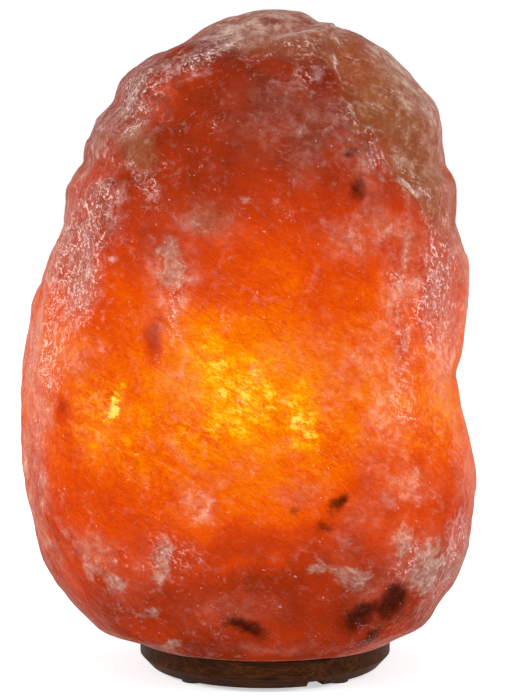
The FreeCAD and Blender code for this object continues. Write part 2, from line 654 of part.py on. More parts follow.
def insert_screws():
    """The two screws that hold the screw shell's floor, from above."""
    screws = []
    for side in (-1, 1):
        screw = pan_screw(SMALL_SCREW_HEAD, SMALL_SCREW_HEAD_HEIGHT, SMALL_SCREW_RADIUS,
                          SMALL_SCREW_LENGTH, -SMALL_SCREW_HEAD_HEIGHT)
        screw.rotate(Vector(0, 0, 0), Vector(1, 0, 0), FULL_TURN / 2)
        screw.translate(Vector(0, side * SIDE_STUD_OFFSET, SCREW_SHELL_FLOOR_Z))
        screws.append(screw)
    return screws


# ---------------------------------------------------------------- bulb
def bulb_tip():
    """The round drop of solder at the bottom of the bulb."""
    out, rise = dome_middle(TIP_RADIUS, TIP_HEIGHT)
    return turned((0, INSULATOR_Z), (0, TIP_Z), ((out, TIP_Z + rise), (TIP_RADIUS, INSULATOR_Z)))


def bulb_insulator():
    """The glass cone between the tip and the metal cap."""
    collar = THREAD_RADIUS - CAP_METAL - SEAT_GAP
    top = THREAD_Z + INSULATOR_COLLAR
    return turned((0, INSULATOR_Z), (INSULATOR_RADIUS, INSULATOR_Z), (collar, THREAD_Z), (collar, top), (0, top))


def bulb_cap():
    """The metal cap: the threaded part and the skirt above it."""
    inner = THREAD_RADIUS - CAP_METAL
    skirt_inner = SKIRT_RADIUS - CAP_METAL
    return turned((inner, THREAD_Z), (THREAD_RADIUS, THREAD_Z + THREAD_CHAMFER), (THREAD_RADIUS, THREAD_TOP_Z),
                  (SKIRT_RADIUS, SKIRT_Z), (SKIRT_RADIUS, SKIRT_TOP_Z), (skirt_inner, SKIRT_TOP_Z),
                  (skirt_inner, SKIRT_Z + CAP_METAL / 2), (inner, THREAD_TOP_Z + CAP_METAL / 2))


def glass_outline(inset):
    """The bulb's side from the neck to the tip, a wall's thickness further in for the inside: a
    straight neck, two equal arcs that swell out, a long arc upwards and a small one over the tip."""
    turn = 2 * math.atan((BULB_RADIUS - NECK_RADIUS) / BULB_SWELL_LENGTH)
    bend = BULB_SWELL_LENGTH / (2 * math.sin(turn))
    widest_z = SKIRT_TOP_Z + BULB_SWELL_LENGTH
    tip_z = BULB_TOP_Z - BULB_TIP_ROUND
    climb = tip_z - widest_z
    sweep = (BULB_RADIUS ** 2 + climb ** 2 - BULB_TIP_ROUND ** 2) / (2 * (BULB_RADIUS - BULB_TIP_ROUND))
    lean = math.atan2(climb, sweep - BULB_RADIUS)
    neck = NECK_RADIUS - inset
    return [
        Part.makeLine(Vector(neck, 0, NECK_Z), Vector(neck, 0, SKIRT_TOP_Z)),
        arc_about(NECK_RADIUS + bend, SKIRT_TOP_Z, bend + inset, math.pi, math.pi - turn),
        arc_about(BULB_RADIUS - bend, widest_z, bend - inset, -turn, 0.0),
        arc_about(BULB_RADIUS - sweep, widest_z, sweep - inset, 0.0, lean),
        arc_about(0.0, tip_z, BULB_TIP_ROUND - inset, lean, math.pi / 2),
    ]


def bulb_glass():
    """The blown glass: a candle-shaped envelope, open at the neck."""
    outer = glass_outline(0.0)
    inner = glass_outline(GLASS_WALL)
    rim = Part.makeLine(Vector(NECK_RADIUS - GLASS_WALL, 0, NECK_Z), Vector(NECK_RADIUS, 0, NECK_Z))
    tip = Part.makeLine(Vector(0, 0, BULB_TOP_Z - GLASS_WALL), Vector(0, 0, BULB_TOP_Z))
    wire = Part.Wire(Part.__sortEdges__([rim, *outer, tip, *inner]))
    return Part.Face(wire).revolve(Vector(0, 0, 0), UP, FULL_TURN)


def bulb_stem():
    """The flared glass stem that closes the neck and carries the wires."""
    flare_z = NECK_Z + SEAT_GAP
    waist_z = flare_z + STEM_HEIGHT / 2
    return turned((0, flare_z), (STEM_FLARE_RADIUS, flare_z), (STEM_FLARE_RADIUS, flare_z + CAP_METAL),
                  (STEM_RADIUS, waist_z), (STEM_RADIUS, STEM_TOP_Z), (0, STEM_TOP_Z))


def lead_wires():
    """Two wires from the stem to the ends of the filament."""
    wires = []
    for side in (-1, 1):
        start = Vector(side * LEAD_SPREAD, 0, LEAD_Z)
        wires.append(rod(start, Vector(side * FILAMENT_RADIUS, 0, FILAMENT_Z - FILAMENT_WIRE), LEAD_WIRE))
    return wires


def filament():
    """The filament, a half ring between the lead wires."""
    ring = Part.makeTorus(FILAMENT_RADIUS, FILAMENT_WIRE, Vector(0, 0, FILAMENT_Z), UP, 0, FULL_TURN, FULL_TURN / 2)
    return ring


def filament_supports():
    """Thin wires that hold the half ring up from the stem."""
    wires = []
    for angle in SUPPORT_ANGLES:
        start = Vector(LEAD_SPREAD, 0, LEAD_Z)
        end = Vector(FILAMENT_RADIUS, 0, FILAMENT_Z - FILAMENT_WIRE - SUPPORT_WIRE)
        wires.append(placed_round(rod(start, end, SUPPORT_WIRE), angle))
    return wires


# ---------------------------------------------------------------- all pieces, one file each
PIECES = {
    "salt_crystal": salt_crystal,
    "wood_base": wood_base,
    "rubber_feet": rubber_feet,
    "base_screws": base_screws,
    "screw_plugs": screw_plugs,
    "clip_plate": clip_plate,
    "plate_screws": plate_screws,
    "holder_cap": holder_cap,
    "holder_shell": holder_shell,
    "terminal_block": terminal_block,
    "terminal_posts": terminal_posts,
    "terminal_screws": terminal_screws,
    "centre_contact": centre_contact,
    "side_contact": side_contact,
    "screw_shell": screw_shell,
    "insert_screws": insert_screws,
    "bulb_tip": bulb_tip,
    "bulb_insulator": bulb_insulator,
    "bulb_cap": bulb_cap,
    "bulb_glass": bulb_glass,
    "bulb_stem": bulb_stem,
    "lead_wires": lead_wires,
    "filament": filament,
    "filament_supports": filament_supports,
}

os.makedirs("parts", exist_ok=True)
SHAPES = {name: make() for name, make in PIECES.items()}
for count, arm_angle in enumerate(ARM_ANGLES, start=1):
    SHAPES["clip_arm_%d" % count] = clip_arm(arm_angle)
for name, shape in SHAPES.items():
    solid = Part.makeCompound(shape) if isinstance(shape, list) else shape
    solid.exportStep("parts/%s.step" % name)
    box = solid.BoundBox
    print("%-18s solids %d  z %7.2f to %7.2f  volume %10.1f  valid %s"
          % (name, len(solid.Solids), box.ZMin, box.ZMax, solid.Volume, solid.isValid()))
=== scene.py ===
"""How the salt crystal lamp looks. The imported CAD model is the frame: every piece stays where it
is there. Lengths in the shape functions are millimetres, and each mesh is made in metres."""

import json
import math

import bpy
import numpy as np
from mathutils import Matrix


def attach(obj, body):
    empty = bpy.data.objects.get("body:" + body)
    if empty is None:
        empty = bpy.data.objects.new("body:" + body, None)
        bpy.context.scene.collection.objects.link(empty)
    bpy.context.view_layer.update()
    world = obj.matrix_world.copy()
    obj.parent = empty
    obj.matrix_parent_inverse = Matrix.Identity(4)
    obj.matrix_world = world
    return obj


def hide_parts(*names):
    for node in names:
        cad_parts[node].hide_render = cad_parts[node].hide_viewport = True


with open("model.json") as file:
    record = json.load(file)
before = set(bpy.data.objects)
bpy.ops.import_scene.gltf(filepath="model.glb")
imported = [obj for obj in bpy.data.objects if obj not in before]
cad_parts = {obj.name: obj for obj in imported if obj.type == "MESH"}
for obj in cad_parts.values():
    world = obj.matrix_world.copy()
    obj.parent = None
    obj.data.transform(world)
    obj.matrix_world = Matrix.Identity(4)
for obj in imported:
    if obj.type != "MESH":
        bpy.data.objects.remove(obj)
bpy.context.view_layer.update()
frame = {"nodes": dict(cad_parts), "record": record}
NODES = frame["nodes"]
MM = 0.001
UP = np.array((0.0, 0.0, 1.0))

# ---------------------------------------------------------------- the photograph's camera
PHOTO_WIDTH = 525
PHOTO_HEIGHT = 700
FOCAL_PIXELS = 2505
CAMERA_PLACE = (-1.2, -1150.0, 291.0)
CAMERA_PITCH = math.radians(7.08)      # looking down
SENSOR = 36.0

# ---------------------------------------------------------------- the crystal, as in the CAD
SEAT_Z = 16.0
CORE_RISE = 134.0
CORE_Z = SEAT_Z + CORE_RISE
SEAT_RADIUS = 60.5
TOP_REACH = 155.0
RIGHT_REACH = 91.0
LEFT_REACH = 110.0
FRONT_REACH = 80.0
BACK_REACH = 82.0
BOXINESS = 0.5                  # what the section's power has over an oval's 2, half way up
CAVITY_RADIUS = 26.0
CAVITY_TOP = 134.0
CAVITY_CROWN = 148.0
# The outline on each side from the top down to the seat, as shares of a plain oval.
OUTLINE_RIGHT = (1.00, 1.01, 1.06, 1.10, 1.06, 1.04, 1.05, 1.02, 0.98, 1.03, 1.15, 1.22, 1.26)
OUTLINE_LEFT = (1.00, 0.99, 0.96, 0.96, 0.94, 0.91, 0.95, 0.985, 1.02, 1.05, 1.09, 1.13, 1.155)
OUTLINE_FRONT = (1.00, 1.00, 1.01, 1.02, 1.01, 0.99, 0.99, 1.00, 1.02, 1.06, 1.12, 1.19, 1.22)
OUTLINE_BACK = (1.00, 1.00, 1.02, 1.04, 1.03, 1.00, 0.97, 0.98, 1.01, 1.06, 1.13, 1.19, 1.22)
FACE_DEPTH = 5.0
# Each face: its turn in degrees from the front towards the right, its rise, and its share of
# the depth.
HEWN_FACES = (
    (8.0, 2.0, 1.0), (58.0, 6.0, 0.7), (40.0, 40.0, 1.4), (-4.0, 44.0, 1.0),
    (-46.0, 44.0, 1.2), (-50.0, 6.0, 1.2), (-34.0, -36.0, 1.0), (36.0, -38.0, 1.0),
    (5.0, 80.0, 0.8), (176.0, 8.0, 1.2), (124.0, -2.0, 1.2), (-126.0, 10.0, 1.2),
    (164.0, 48.0, 1.2), (-112.0, 46.0, 1.0), (110.0, 42.0, 1.0), (-158.0, -38.0, 1.0),
    (134.0, -36.0, 1.0),
)
CHIP_COUNT = 90
CHIP_DEPTH = 2.0
CHIP_VARIETY = 0.5
FACE_CROWN = 24.0               # how soon a face rises off its plane
CHIP_CROWN = 60.0
FACE_LIFT = 900.0               # how soon a cut comes to its end
FACE_LIMIT = 0.7                # a plane cuts only where the cosine to its normal is above this
EDGE_SOFTNESS = 3.0
GOLDEN_ANGLE = math.pi * (3 - math.sqrt(5))

# ---------------------------------------------------------------- the bulb and its holder, as in the CAD
THREAD_PITCH = 2.82
THREAD_COLUMNS = 96
THREAD_ROWS = 60
METAL_EDGE = 0.1                # how far a cut edge of thin metal is rounded
CAP_FOOT_Z = 33.05
CAP_THREAD_TOP_Z = 46.35
CAP_THREAD_RADIUS = 6.65        # midway between crest and root
CAP_THREAD_RELIEF = 0.3
CAP_THREAD_START = 1.6          # above the foot
CAP_ROW_MARGIN = 0.4            # between each end of the cap and its rows
CAP_METAL = 0.5
SKIRT_RADIUS = 8.4
SKIRT_Z = 48.55
SKIRT_TOP_Z = 53.55
SKIRT_BEND = 0.6                # how high the skirt's bend reaches
SHELL_FLOOR_Z = 29.0
SHELL_TOP_Z = 44.3
SHELL_THREAD_RADIUS = 6.9       # inside
SHELL_THREAD_RELIEF = 0.25
SHELL_THREAD_START = 1.8        # above the floor
SHELL_LIP = 0.3                 # above the top row of the thread
SHELL_CORNER = 0.6              # below its lowest row
SHELL_METAL = 0.3
SHELL_FLOOR = 0.4
SHELL_HOLE = 3.6
FILAMENT_Z = 87.25
FILAMENT_RING = 7.0
COIL_RADIUS = 0.27
COIL_WIRE = 0.08
COIL_TURNS = 30
COIL_STEPS = 14                 # points in a turn
WIRE_SIDES = 7

# ---------------------------------------------------------------- the crystal's finer surface
COLUMNS = 400
OUTER_ROWS = 218
FLAT_RADII = (52.0, 40.0, CAVITY_RADIUS)
WALL_ROWS = 12
DOME_ROWS = 5
UNEVEN_DEPTH = 0.8
SKIN_LIFT = 1.3                 # makes up for what the chips take away
SEAT_FADE = 14.0                # height over which the relief grows from nothing at the seat
# Strength of each relief on smooth skin, and what a fully broken zone adds to it.
LARGE_CHIP_SHARE = (0.5, 0.5)
SMALL_CHIP_SHARE = (0.45, 0.55)
GRAIN_DEPTH = (0.06, 0.34)
LARGE_CHIPS = (150, (14.0, 34.0), (0.8, 3.4), 11)      # how many, reach, depth, seed
SMALL_CHIPS = (1100, (4.5, 13.0), (0.2, 1.0), 12)
CREST_WIDTH = 0.18              # as a share of the deepest chip
TABLE_SIZE = 64
RANDOM_TABLE = np.random.default_rng(4).uniform(-1.0, 1.0, (TABLE_SIZE, TABLE_SIZE, TABLE_SIZE))

# ---------------------------------------------------------------- the outline's corners
# Pixels where the lump's outline turns in the photograph, from the top down each side.
LEFT_CORNERS = (
    (262, 11), (232, 17), (207, 30), (178, 46), (152, 59), (139, 67), (123, 83), (115, 104),
    (96, 123), (89, 142), (88, 159), (80, 166), (70, 185), (68, 208), (63, 233), (46, 268),
    (43, 282), (31, 330), (25, 382), (24, 430), (28, 472), (36, 520), (47, 556), (58, 572),
    (78, 598), (97, 617), (118, 633), (144, 645),
)
RIGHT_CORNERS = (
    (262, 11), (285, 11), (312, 17), (331, 31), (355, 33), (385, 53), (412, 80), (438, 109),
    (441, 122), (441, 143), (445, 165), (455, 181), (457, 205), (457, 231), (466, 255),
    (467, 290), (464, 330), (457, 372), (461, 405), (471, 450), (475, 475), (472, 510),
    (470, 535), (458, 562), (440, 590), (425, 612), (404, 635), (385, 646),
)
EDGE_LIMIT = 6.0
EDGE_WAVER = 0.05               # radians
EDGE_ROWS = 160
EDGE_SEARCH = np.radians(np.linspace(-50, 50, 21))      # where a side's widest point is looked for
EDGE_SIDEWAYS = (0.45, 0.85)    # cosines between which a correction grows to full
EDGE_TOP = (0.2, 0.45)          # radians from straight up between which the top's share fades
EDGE_TOP_BLEND = 10.0

# ---------------------------------------------------------------- broken edges on the front
# Each is the step's height in millimetres and the pixels it runs through. The lower side is on
# the right as the pixels run.
LEDGES = (
    (1.7, ((440, 232), (407, 192), (375, 145), (356, 120), (345, 100), (333, 60), (331, 31))),
    (1.3, ((92, 410), (100, 345), (112, 290), (118, 235), (112, 190), (94, 150))),
    (1.2, ((398, 222), (408, 260), (403, 310), (401, 350), (408, 400), (413, 450), (418, 530))),
    (0.8, ((189, 335), (187, 300), (183, 276))),
    (1.1, ((98, 152), (125, 121), (150, 96), (180, 71), (207, 42))),
    (0.8, ((218, 522), (190, 482), (164, 460), (136, 430), (116, 396))),
    (0.7, ((210, 205), (235, 199), (262, 206), (268, 214))),
    (0.9, ((300, 548), (330, 566), (368, 584), (398, 580), (420, 560))),
)
LEDGE_WIDTH = 3.0               # pixels, as is the fade
LEDGE_FADE = 26.0
LEDGE_LINE = 1.6 * LEDGE_WIDTH

# ---------------------------------------------------------------- the bulb's light in the salt
GLOW_MIDDLE = np.array((-4.0, 0.0, 122.0))
GLOW_ACROSS = 0.9
GLOW_BELOW = 1.3
GLOW_WAVER = 9.0
GLOW_SIZE = 76.0
GLOW_FALL = 38.0
GLOW_LIMIT = 1.2
# The light's colour at each level, as it shows on screen.
GLOW_COLOURS = (
    (0.00, (112, 33, 13)), (0.10, (136, 41, 15)), (0.20, (158, 47, 16)), (0.32, (184, 54, 15)),
    (0.45, (207, 63, 12)), (0.58, (226, 74, 7)), (0.70, (240, 90, 4)), (0.82, (248, 108, 2)),
    (0.95, (252, 127, 1)), (1.10, (254, 150, 2)), (1.25, (255, 190, 10)), (1.40, (255, 232, 96)),
)
BRIGHTEST = GLOW_COLOURS[-1][0]

# ---------------------------------------------------------------- marks that the photograph shows
# Each is a blot: the pixel of its middle, its half length, half width, turn in degrees
# anticlockwise, and strength.
# Pale blots are frosted patches in the salt; the thin strokes among them, along ledges and chips, are
# painted glints.
PALE_BLOTS = (
    (128, 108, 44, 6, 45, 0.75), (137, 109, 24, 5, 22, 0.7), (201, 218, 26, 14, -8, 0.55),
    (170, 270, 34, 14, 82, 1.2), (180, 310, 40, 8, 86, 0.75), (89, 294, 24, 4, 90, 0.8),
    (248, 201, 24, 5, -14, 0.6), (141, 182, 20, 4, -52, 0.6), (168, 212, 12, 3, -40, 0.7),
    (202, 510, 20, 12, 10, 0.9), (228, 509, 9, 6, 0, 0.6), (262, 521, 9, 7, 0, 0.6),
    (260, 480, 9, 5, 0, 0.5), (98, 556, 22, 8, -74, 0.85), (112, 574, 24, 10, -35, 0.95),
    (163, 557, 34, 15, 80, 1.05), (76, 526, 12, 6, -60, 0.7), (154, 611, 14, 9, 0, 0.9),
    (170, 641, 12, 7, 0, 1.0), (84, 536, 20, 6, -50, 0.6), (405, 104, 20, 12, -60, 0.7),
    (370, 220, 18, 9, -30, 0.7), (408, 241, 13, 11, 0, 0.85), (386, 410, 28, 9, 66, 0.6),
    (403, 544, 20, 16, 30, 1.05), (426, 562, 36, 18, 65, 1.1), (350, 571, 32, 13, 5, 0.95),
    (330, 570, 26, 9, 20, 0.9), (406, 360, 80, 7, 89, 0.6), (407, 345, 26, 8, 85, 0.7),
    (402, 188, 18, 5, -35, 1.1), (350, 116, 14, 5, -60, 1.0), (376, 172, 20, 5, -50, 0.8),
    (334, 66, 34, 5, -75, 0.5), (310, 50, 26, 8, -40, 0.5), (345, 142, 60, 3, -52, 0.55),
    (420, 150, 60, 8, -72, 0.4), (318, 150, 34, 6, -70, 0.5), (205, 72, 40, 6, 42, 0.55),
    (262, 625, 14, 6, 0, 0.5), (205, 625, 24, 8, 0, 0.45), (425, 628, 26, 8, 30, 0.6),
    (150, 360, 14, 5, 60, 0.45), (50, 560, 22, 6, -65, 0.4), (300, 640, 40, 6, 5, 0.4),
    (394, 66, 44, 8, -44, 1.0), (430, 112, 28, 8, -58, 1.1), (442, 142, 18, 6, -84, 0.9),
)
# Veils are soft pinkish haze in the salt; the thin blots along the outline paint a pale rim light.
VEIL_AND_RIM_LIGHT_BLOTS = (
    (170, 290, 70, 30, 84, 0.55), (200, 225, 50, 26, -10, 0.5), (311, 140, 46, 26, 80, 0.6),
    (280, 120, 60, 40, 0, 0.35), (388, 400, 70, 22, 75, 1.0), (345, 370, 50, 26, 60, 0.7),
    (32, 430, 110, 13, 90, 0.9), (440, 280, 66, 22, 86, 0.5), (462, 450, 70, 12, 88, 0.6),
    (400, 560, 60, 30, 50, 0.5), (140, 570, 50, 30, 70, 0.25), (265, 26, 110, 18, 0, 1.4),
    (82, 270, 90, 26, 76, 0.7), (196, 500, 30, 14, -42, 1.1), (80, 362, 30, 20, 30, 0.9),
    (190, 456, 34, 10, -40, 0.7), (395, 450, 50, 20, 60, 0.6), (372, 350, 50, 26, 60, 0.6),
    (400, 488, 34, 22, 10, 1.1), (442, 365, 60, 16, 88, 0.9), (402, 285, 60, 22, 82, 1.2),
    (352, 240, 34, 22, 0, 1.1), (46, 300, 60, 12, 74, 1.2), (42, 395, 50, 10, 86, 1.0),
    (46, 492, 44, 10, -80, 1.0), (56, 536, 34, 9, -64, 1.2), (300, 490, 30, 14, 0, 0.9),
    (100, 540, 34, 16, -45, 0.8), (158, 285, 40, 18, 82, 0.7), (402, 46, 34, 14, -42, 1.3),
    (405, 78, 66, 16, -48, 1.35), (440, 150, 60, 14, -80, 0.8), (220, 480, 60, 16, 35, 0.35),
    (300, 350, 60, 30, 20, 0.3), (180, 380, 26, 50, 10, 0.4), (230, 610, 60, 20, 0, 0.3),
    (395, 232, 40, 20, -30, 1.0), (130, 130, 50, 22, 50, 0.5), (360, 520, 60, 20, 50, 0.35),
    (260, 649, 120, 4, 0, 0.4), (90, 420, 26, 40, 0, 0.3), (350, 150, 70, 16, -58, 0.8),
    (450, 560, 40, 12, 65, 0.4), (60, 550, 60, 8, -58, 0.25), (42, 505, 60, 12, -74, 0.9),
    (165, 100, 30, 14, 45, 0.4), (110, 130, 30, 16, 50, 0.5), (26, 450, 90, 8, 90, 1.3),
    (33, 508, 34, 8, -78, 1.3), (48, 556, 36, 8, -60, 1.3), (467, 300, 60, 8, 88, 1.1),
    (457, 335, 24, 8, 80, 1.1), (300, 18, 70, 8, -6, 1.1), (86, 162, 36, 8, 62, 1.3),
    (458, 560, 46, 9, 65, 1.1), (66, 240, 40, 7, 78, 0.8), (474, 480, 40, 7, 90, 0.9),
)
# Rough blots mark the broken zones: real bump and coat there, and the painted glints strongest there.
ROUGH_BLOTS = (
    (84, 255, 92, 32, 76, 1.1), (52, 345, 70, 20, 80, 0.7), (135, 105, 66, 22, 46, 0.8),
    (205, 52, 56, 18, 28, 0.75), (438, 285, 90, 30, 86, 0.8), (404, 350, 90, 18, 89, 0.5),
    (448, 560, 70, 20, 66, 0.5), (40, 430, 90, 12, 90, 0.4), (110, 408, 26, 10, 76, 0.3),
    (352, 130, 90, 12, -50, 0.5), (400, 100, 60, 40, -50, 0.2), (160, 560, 50, 40, 0, 0.3),
    (420, 190, 60, 20, -70, 0.3), (150, 190, 44, 14, -50, 0.5), (410, 560, 30, 24, 30, 0.45),
    (300, 50, 90, 24, 0, 0.25), (175, 300, 50, 10, 86, 0.4),
)
DARK_BLOTS = (
    (108, 188, 14, 10, 0, 0.6), (130, 245, 12, 9, 0, 0.5), (354, 157, 9, 9, 80, 0.8),
    (362, 192, 20, 16, 60, 0.85), (337, 505, 20, 13, 30, 0.95), (320, 526, 16, 11, 0, 0.7),
    (293, 504, 14, 9, 0, 0.55), (153, 356, 12, 6, 80, 0.4), (61, 405, 14, 9, 60, 0.5),
    (245, 630, 34, 13, -15, 1.0), (392, 598, 32, 20, 60, 1.1), (362, 610, 34, 18, 20, 1.0),
    (368, 632, 24, 10, 30, 0.9), (380, 330, 18, 10, 60, 0.35), (190, 412, 11, 8, 0, 0.35),
    (260, 572, 50, 14, 8, 0.45), (330, 560, 30, 14, 0, 0.4), (430, 640, 30, 8, 20, 0.5),
)
RED_BLOTS = (
    (260, 130, 90, 66, 10, 0.5), (300, 600, 110, 50, 5, 0.8), (330, 250, 60, 44, -10, 0.25),
    (120, 610, 70, 30, -35, 0.4), (340, 560, 60, 40, 20, 0.5), (200, 600, 50, 30, 0, 0.4),
    (300, 494, 34, 14, 0, 0.5), (350, 488, 34, 16, 20, 0.35), (152, 344, 26, 11, 76, 1.5),
    (250, 644, 150, 9, 0, 0.5), (110, 488, 40, 22, -30, 0.35), (440, 290, 60, 20, 86, 0.45),
    (62, 405, 16, 12, 80, 1.0), (400, 340, 50, 14, 88, 0.35), (250, 545, 56, 20, 0, 0.9),
    (200, 590, 56, 24, 0, 0.8), (190, 545, 30, 20, 0, 0.5), (110, 600, 30, 16, -40, 0.7),
)
# Hot blots brighten the bulb's light in the salt; the first three make a thin bright streak, a painted
# glint.
HOT_BLOTS = (
    (109, 410, 30, 5, 73, 3.6), (120, 388, 14, 5, 78, 1.6), (104, 402, 40, 16, 74, 0.7),
    (209, 344, 16, 8, 0, 0.5),
    (259, 383, 18, 8, -20, 0.5), (211, 428, 22, 11, 10, 0.9), (215, 362, 18, 9, 20, 0.7),
    (300, 420, 30, 14, -10, 1.0), (306, 442, 34, 10, 5, 0.9), (326, 428, 14, 9, 0, 0.7),
    (240, 400, 80, 54, 10, 0.55), (432, 425, 40, 40, 80, 0.5), (130, 450, 50, 20, -50, 0.5),
    (200, 350, 34, 16, 10, 0.1), (190, 440, 54, 24, 10, 0.45), (90, 410, 60, 40, 80, 0.55),
    (75, 350, 40, 20, 80, 0.4), (165, 98, 44, 20, 45, 0.5), (95, 300, 60, 24, 80, 0.15),
    (180, 480, 40, 14, -40, 0.4), (175, 432, 60, 18, -34, 0.6), (350, 442, 34, 16, 0, 0.45),
)
BROWN_BLOTS = (
    (392, 104, 60, 46, -44, 1.0), (418, 170, 56, 28, -66, 0.9), (136, 148, 28, 20, -50, 0.7),
    (350, 55, 50, 24, -20, 0.7), (210, 218, 24, 16, 0, 0.45), (300, 44, 80, 18, -4, 0.5),
    (455, 215, 40, 12, -80, 0.5),
)
BLOT_END = 1.35                 # a blot has faded out at this share of its size
# Each mark has its blots in the photograph and the share of a blot that is full. For the sides that
# the photograph doesn't show, it has how many blots are strewn, their reach, strength and seed.
MARKS = {
    "pale": (PALE_BLOTS, 0.4, 60, (5.0, 18.0), (0.5, 0.95), 61),
    "veil_and_rim_light": (VEIL_AND_RIM_LIGHT_BLOTS, 0.0, 26, (16.0, 44.0), (0.3, 0.8), 66),
    "rough": (ROUGH_BLOTS, 0.0, 18, (18.0, 42.0), (0.2, 0.6), 67),
    "dark": (DARK_BLOTS, 0.0, 16, (6.0, 17.0), (0.35, 0.9), 62),
    "red": (RED_BLOTS, 0.0, 9, (20.0, 45.0), (0.3, 0.7), 63),
    "hot": (HOT_BLOTS, 0.0, 16, (6.0, 20.0), (0.4, 0.9), 64),
    "brown": (BROWN_BLOTS, 0.4, 5, (22.0, 40.0), (0.4, 0.8), 65),
}
STREWN_FULL = 0.2               # the share of a strewn blot that is full
STREWN_MARGIN = 0.3             # radians past the sides, round towards the front
STREWN_SQUEEZE = (0.5, 1.4)
FRONT_DEPTHS = (6.0, 38.0)      # the photograph's marks hold up to the first y and end at the second


# ---------------------------------------------------------------- arrays and meshes
def smooth_step(value, low, high):
    """0 below low, 1 above high, and 3t^2 - 2t^3 between them."""
    share = np.clip((value - low) / (high - low), 0.0, 1.0)
    return share * share * (3.0 - 2.0 * share)


def lattice_noise(points, cell, seed):
    """Smooth random values from -1 to 1: one at each corner of a cubic lattice, and between the
    eight corners of its cell a point takes their eased blend."""
    place = points / cell + seed * 7.31
    corner = np.floor(place).astype(int)
    along = place - corner
    ease = along * along * (3.0 - 2.0 * along)
    total = np.zeros(points.shape[:-1])
    for step in np.ndindex(2, 2, 2):
        weight = np.prod(np.where(np.array(step) == 1, ease, 1.0 - ease), axis=-1)
        index = (corner + step) % TABLE_SIZE
        total += weight * RANDOM_TABLE[index[..., 0], index[..., 1], index[..., 2]]
    return total


def layered_noise(points, cell, seed, layers=4):
    """Lattice noise, with each further layer half as large and half as strong."""
    total = np.zeros(points.shape[:-1])
    for layer in range(layers):
        total += lattice_noise(points, cell / 2 ** layer, seed + layer) / 2 ** layer
    return total


def skin_mesh(name, rings, first_pole=None, last_pole=None, looped=False):
    """A mesh from rings of points round Z. Each ring joins the next with quads, a pole closes
    an end with a fan, and a looped skin joins its last ring to its first. Seen from outside, a
    ring runs anticlockwise and the rings run downwards."""
    count, columns, _ = rings.shape
    points = rings.reshape(-1, 3)
    here = np.arange(columns)
    following = (here + 1) % columns
    last = count if looped else count - 1
    upper = np.arange(last)[:, None] * columns
    lower = ((np.arange(last) + 1) % count)[:, None] * columns
    quads = np.stack((upper + here, lower + here, lower + following, upper + following), axis=-1)
    faces = quads.reshape(-1, 4).tolist()
    if first_pole is not None:
        pole = np.full(columns, len(points))
        faces += np.stack((pole, here, following), axis=-1).tolist()
        points = np.vstack((points, first_pole))
    if last_pole is not None:
        pole = np.full(columns, len(points))
        end = (count - 1) * columns
        faces += np.stack((pole, end + following, end + here), axis=-1).tolist()
        points = np.vstack((points, last_pole))
    mesh = bpy.data.meshes.new(name)
    mesh.from_pydata((points * MM).tolist(), [], faces)
    mesh.polygons.foreach_set("use_smooth", np.ones(len(faces), dtype=bool))
    mesh.update()
    return mesh


def new_piece(name, mesh, body, slot, material, *replaced):
    """An object for a mesh: it rides on a body, takes its material and stands for CAD nodes. The slot
    argument is not used.
    """
    piece = bpy.data.objects.new(name, mesh)
    bpy.context.scene.collection.objects.link(piece)
    mesh.materials.append(material)
    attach(piece, body)
    if replaced:
        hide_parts(*replaced)
    return piece


# ---------------------------------------------------------------- the crystal's shape
LOWEST_POLAR = math.pi - math.atan2(SEAT_RADIUS, CORE_RISE)


def direction(polar, azimuth):
    """Unit vectors at angles from straight up and round from +X."""
    return np.stack((np.sin(polar) * np.cos(azimuth), np.sin(polar) * np.sin(azimuth),
                     np.cos(polar) + 0.0 * azimuth), axis=-1)


def outline_reach(polar, side_reach, shares):
    """How far one side's outline lies from the middle: a plain oval times a smooth curve through
    the shares, which ends at the edge of the sawn flat. Between two shares the curve is a cubic,
    with slopes set by the shares before and after them."""
    upright = np.where(polar < math.pi / 2, TOP_REACH, CORE_RISE)
    oval = 1.0 / np.hypot(np.cos(polar) / upright, np.sin(polar) / side_reach)
    end_oval = 1.0 / math.hypot(math.cos(LOWEST_POLAR) / CORE_RISE,
                                math.sin(LOWEST_POLAR) / side_reach)
    knots = np.array(shares + (math.hypot(SEAT_RADIUS, CORE_RISE) / end_oval,))
    place = polar / LOWEST_POLAR * (len(knots) - 1)
    step = np.clip(place.astype(int), 0, len(knots) - 2)
    along = place - step
    before = knots[np.maximum(step - 1, 0)]
    after = knots[np.minimum(step + 2, len(knots) - 1)]
    here = knots[step]
    there = knots[step + 1]
    bend = 2 * before - 5 * here + 4 * there - after
    twist = 3 * (here - there) + after - before
    return oval * (here + 0.5 * along * ((there - before) + along * (bend + along * twist)))


def body_reach(polar, azimuth):
    """The lump before it is hewn. Between two outlines the section is a squared oval, on which
    (across / side)^power + (deep / face)^power = 1."""
    across = np.cos(azimuth)
    deep = np.sin(azimuth)
    side = np.where(across >= 0, outline_reach(polar, RIGHT_REACH, OUTLINE_RIGHT),
                    outline_reach(polar, LEFT_REACH, OUTLINE_LEFT))
    face = np.where(deep >= 0, outline_reach(polar, BACK_REACH, OUTLINE_BACK),
                    outline_reach(polar, FRONT_REACH, OUTLINE_FRONT))
    power = 2.0 + BOXINESS * np.sin(polar) ** 2
    return ((np.abs(across) / side) ** power + (np.abs(deep) / face) ** power) ** (-1.0 / power)


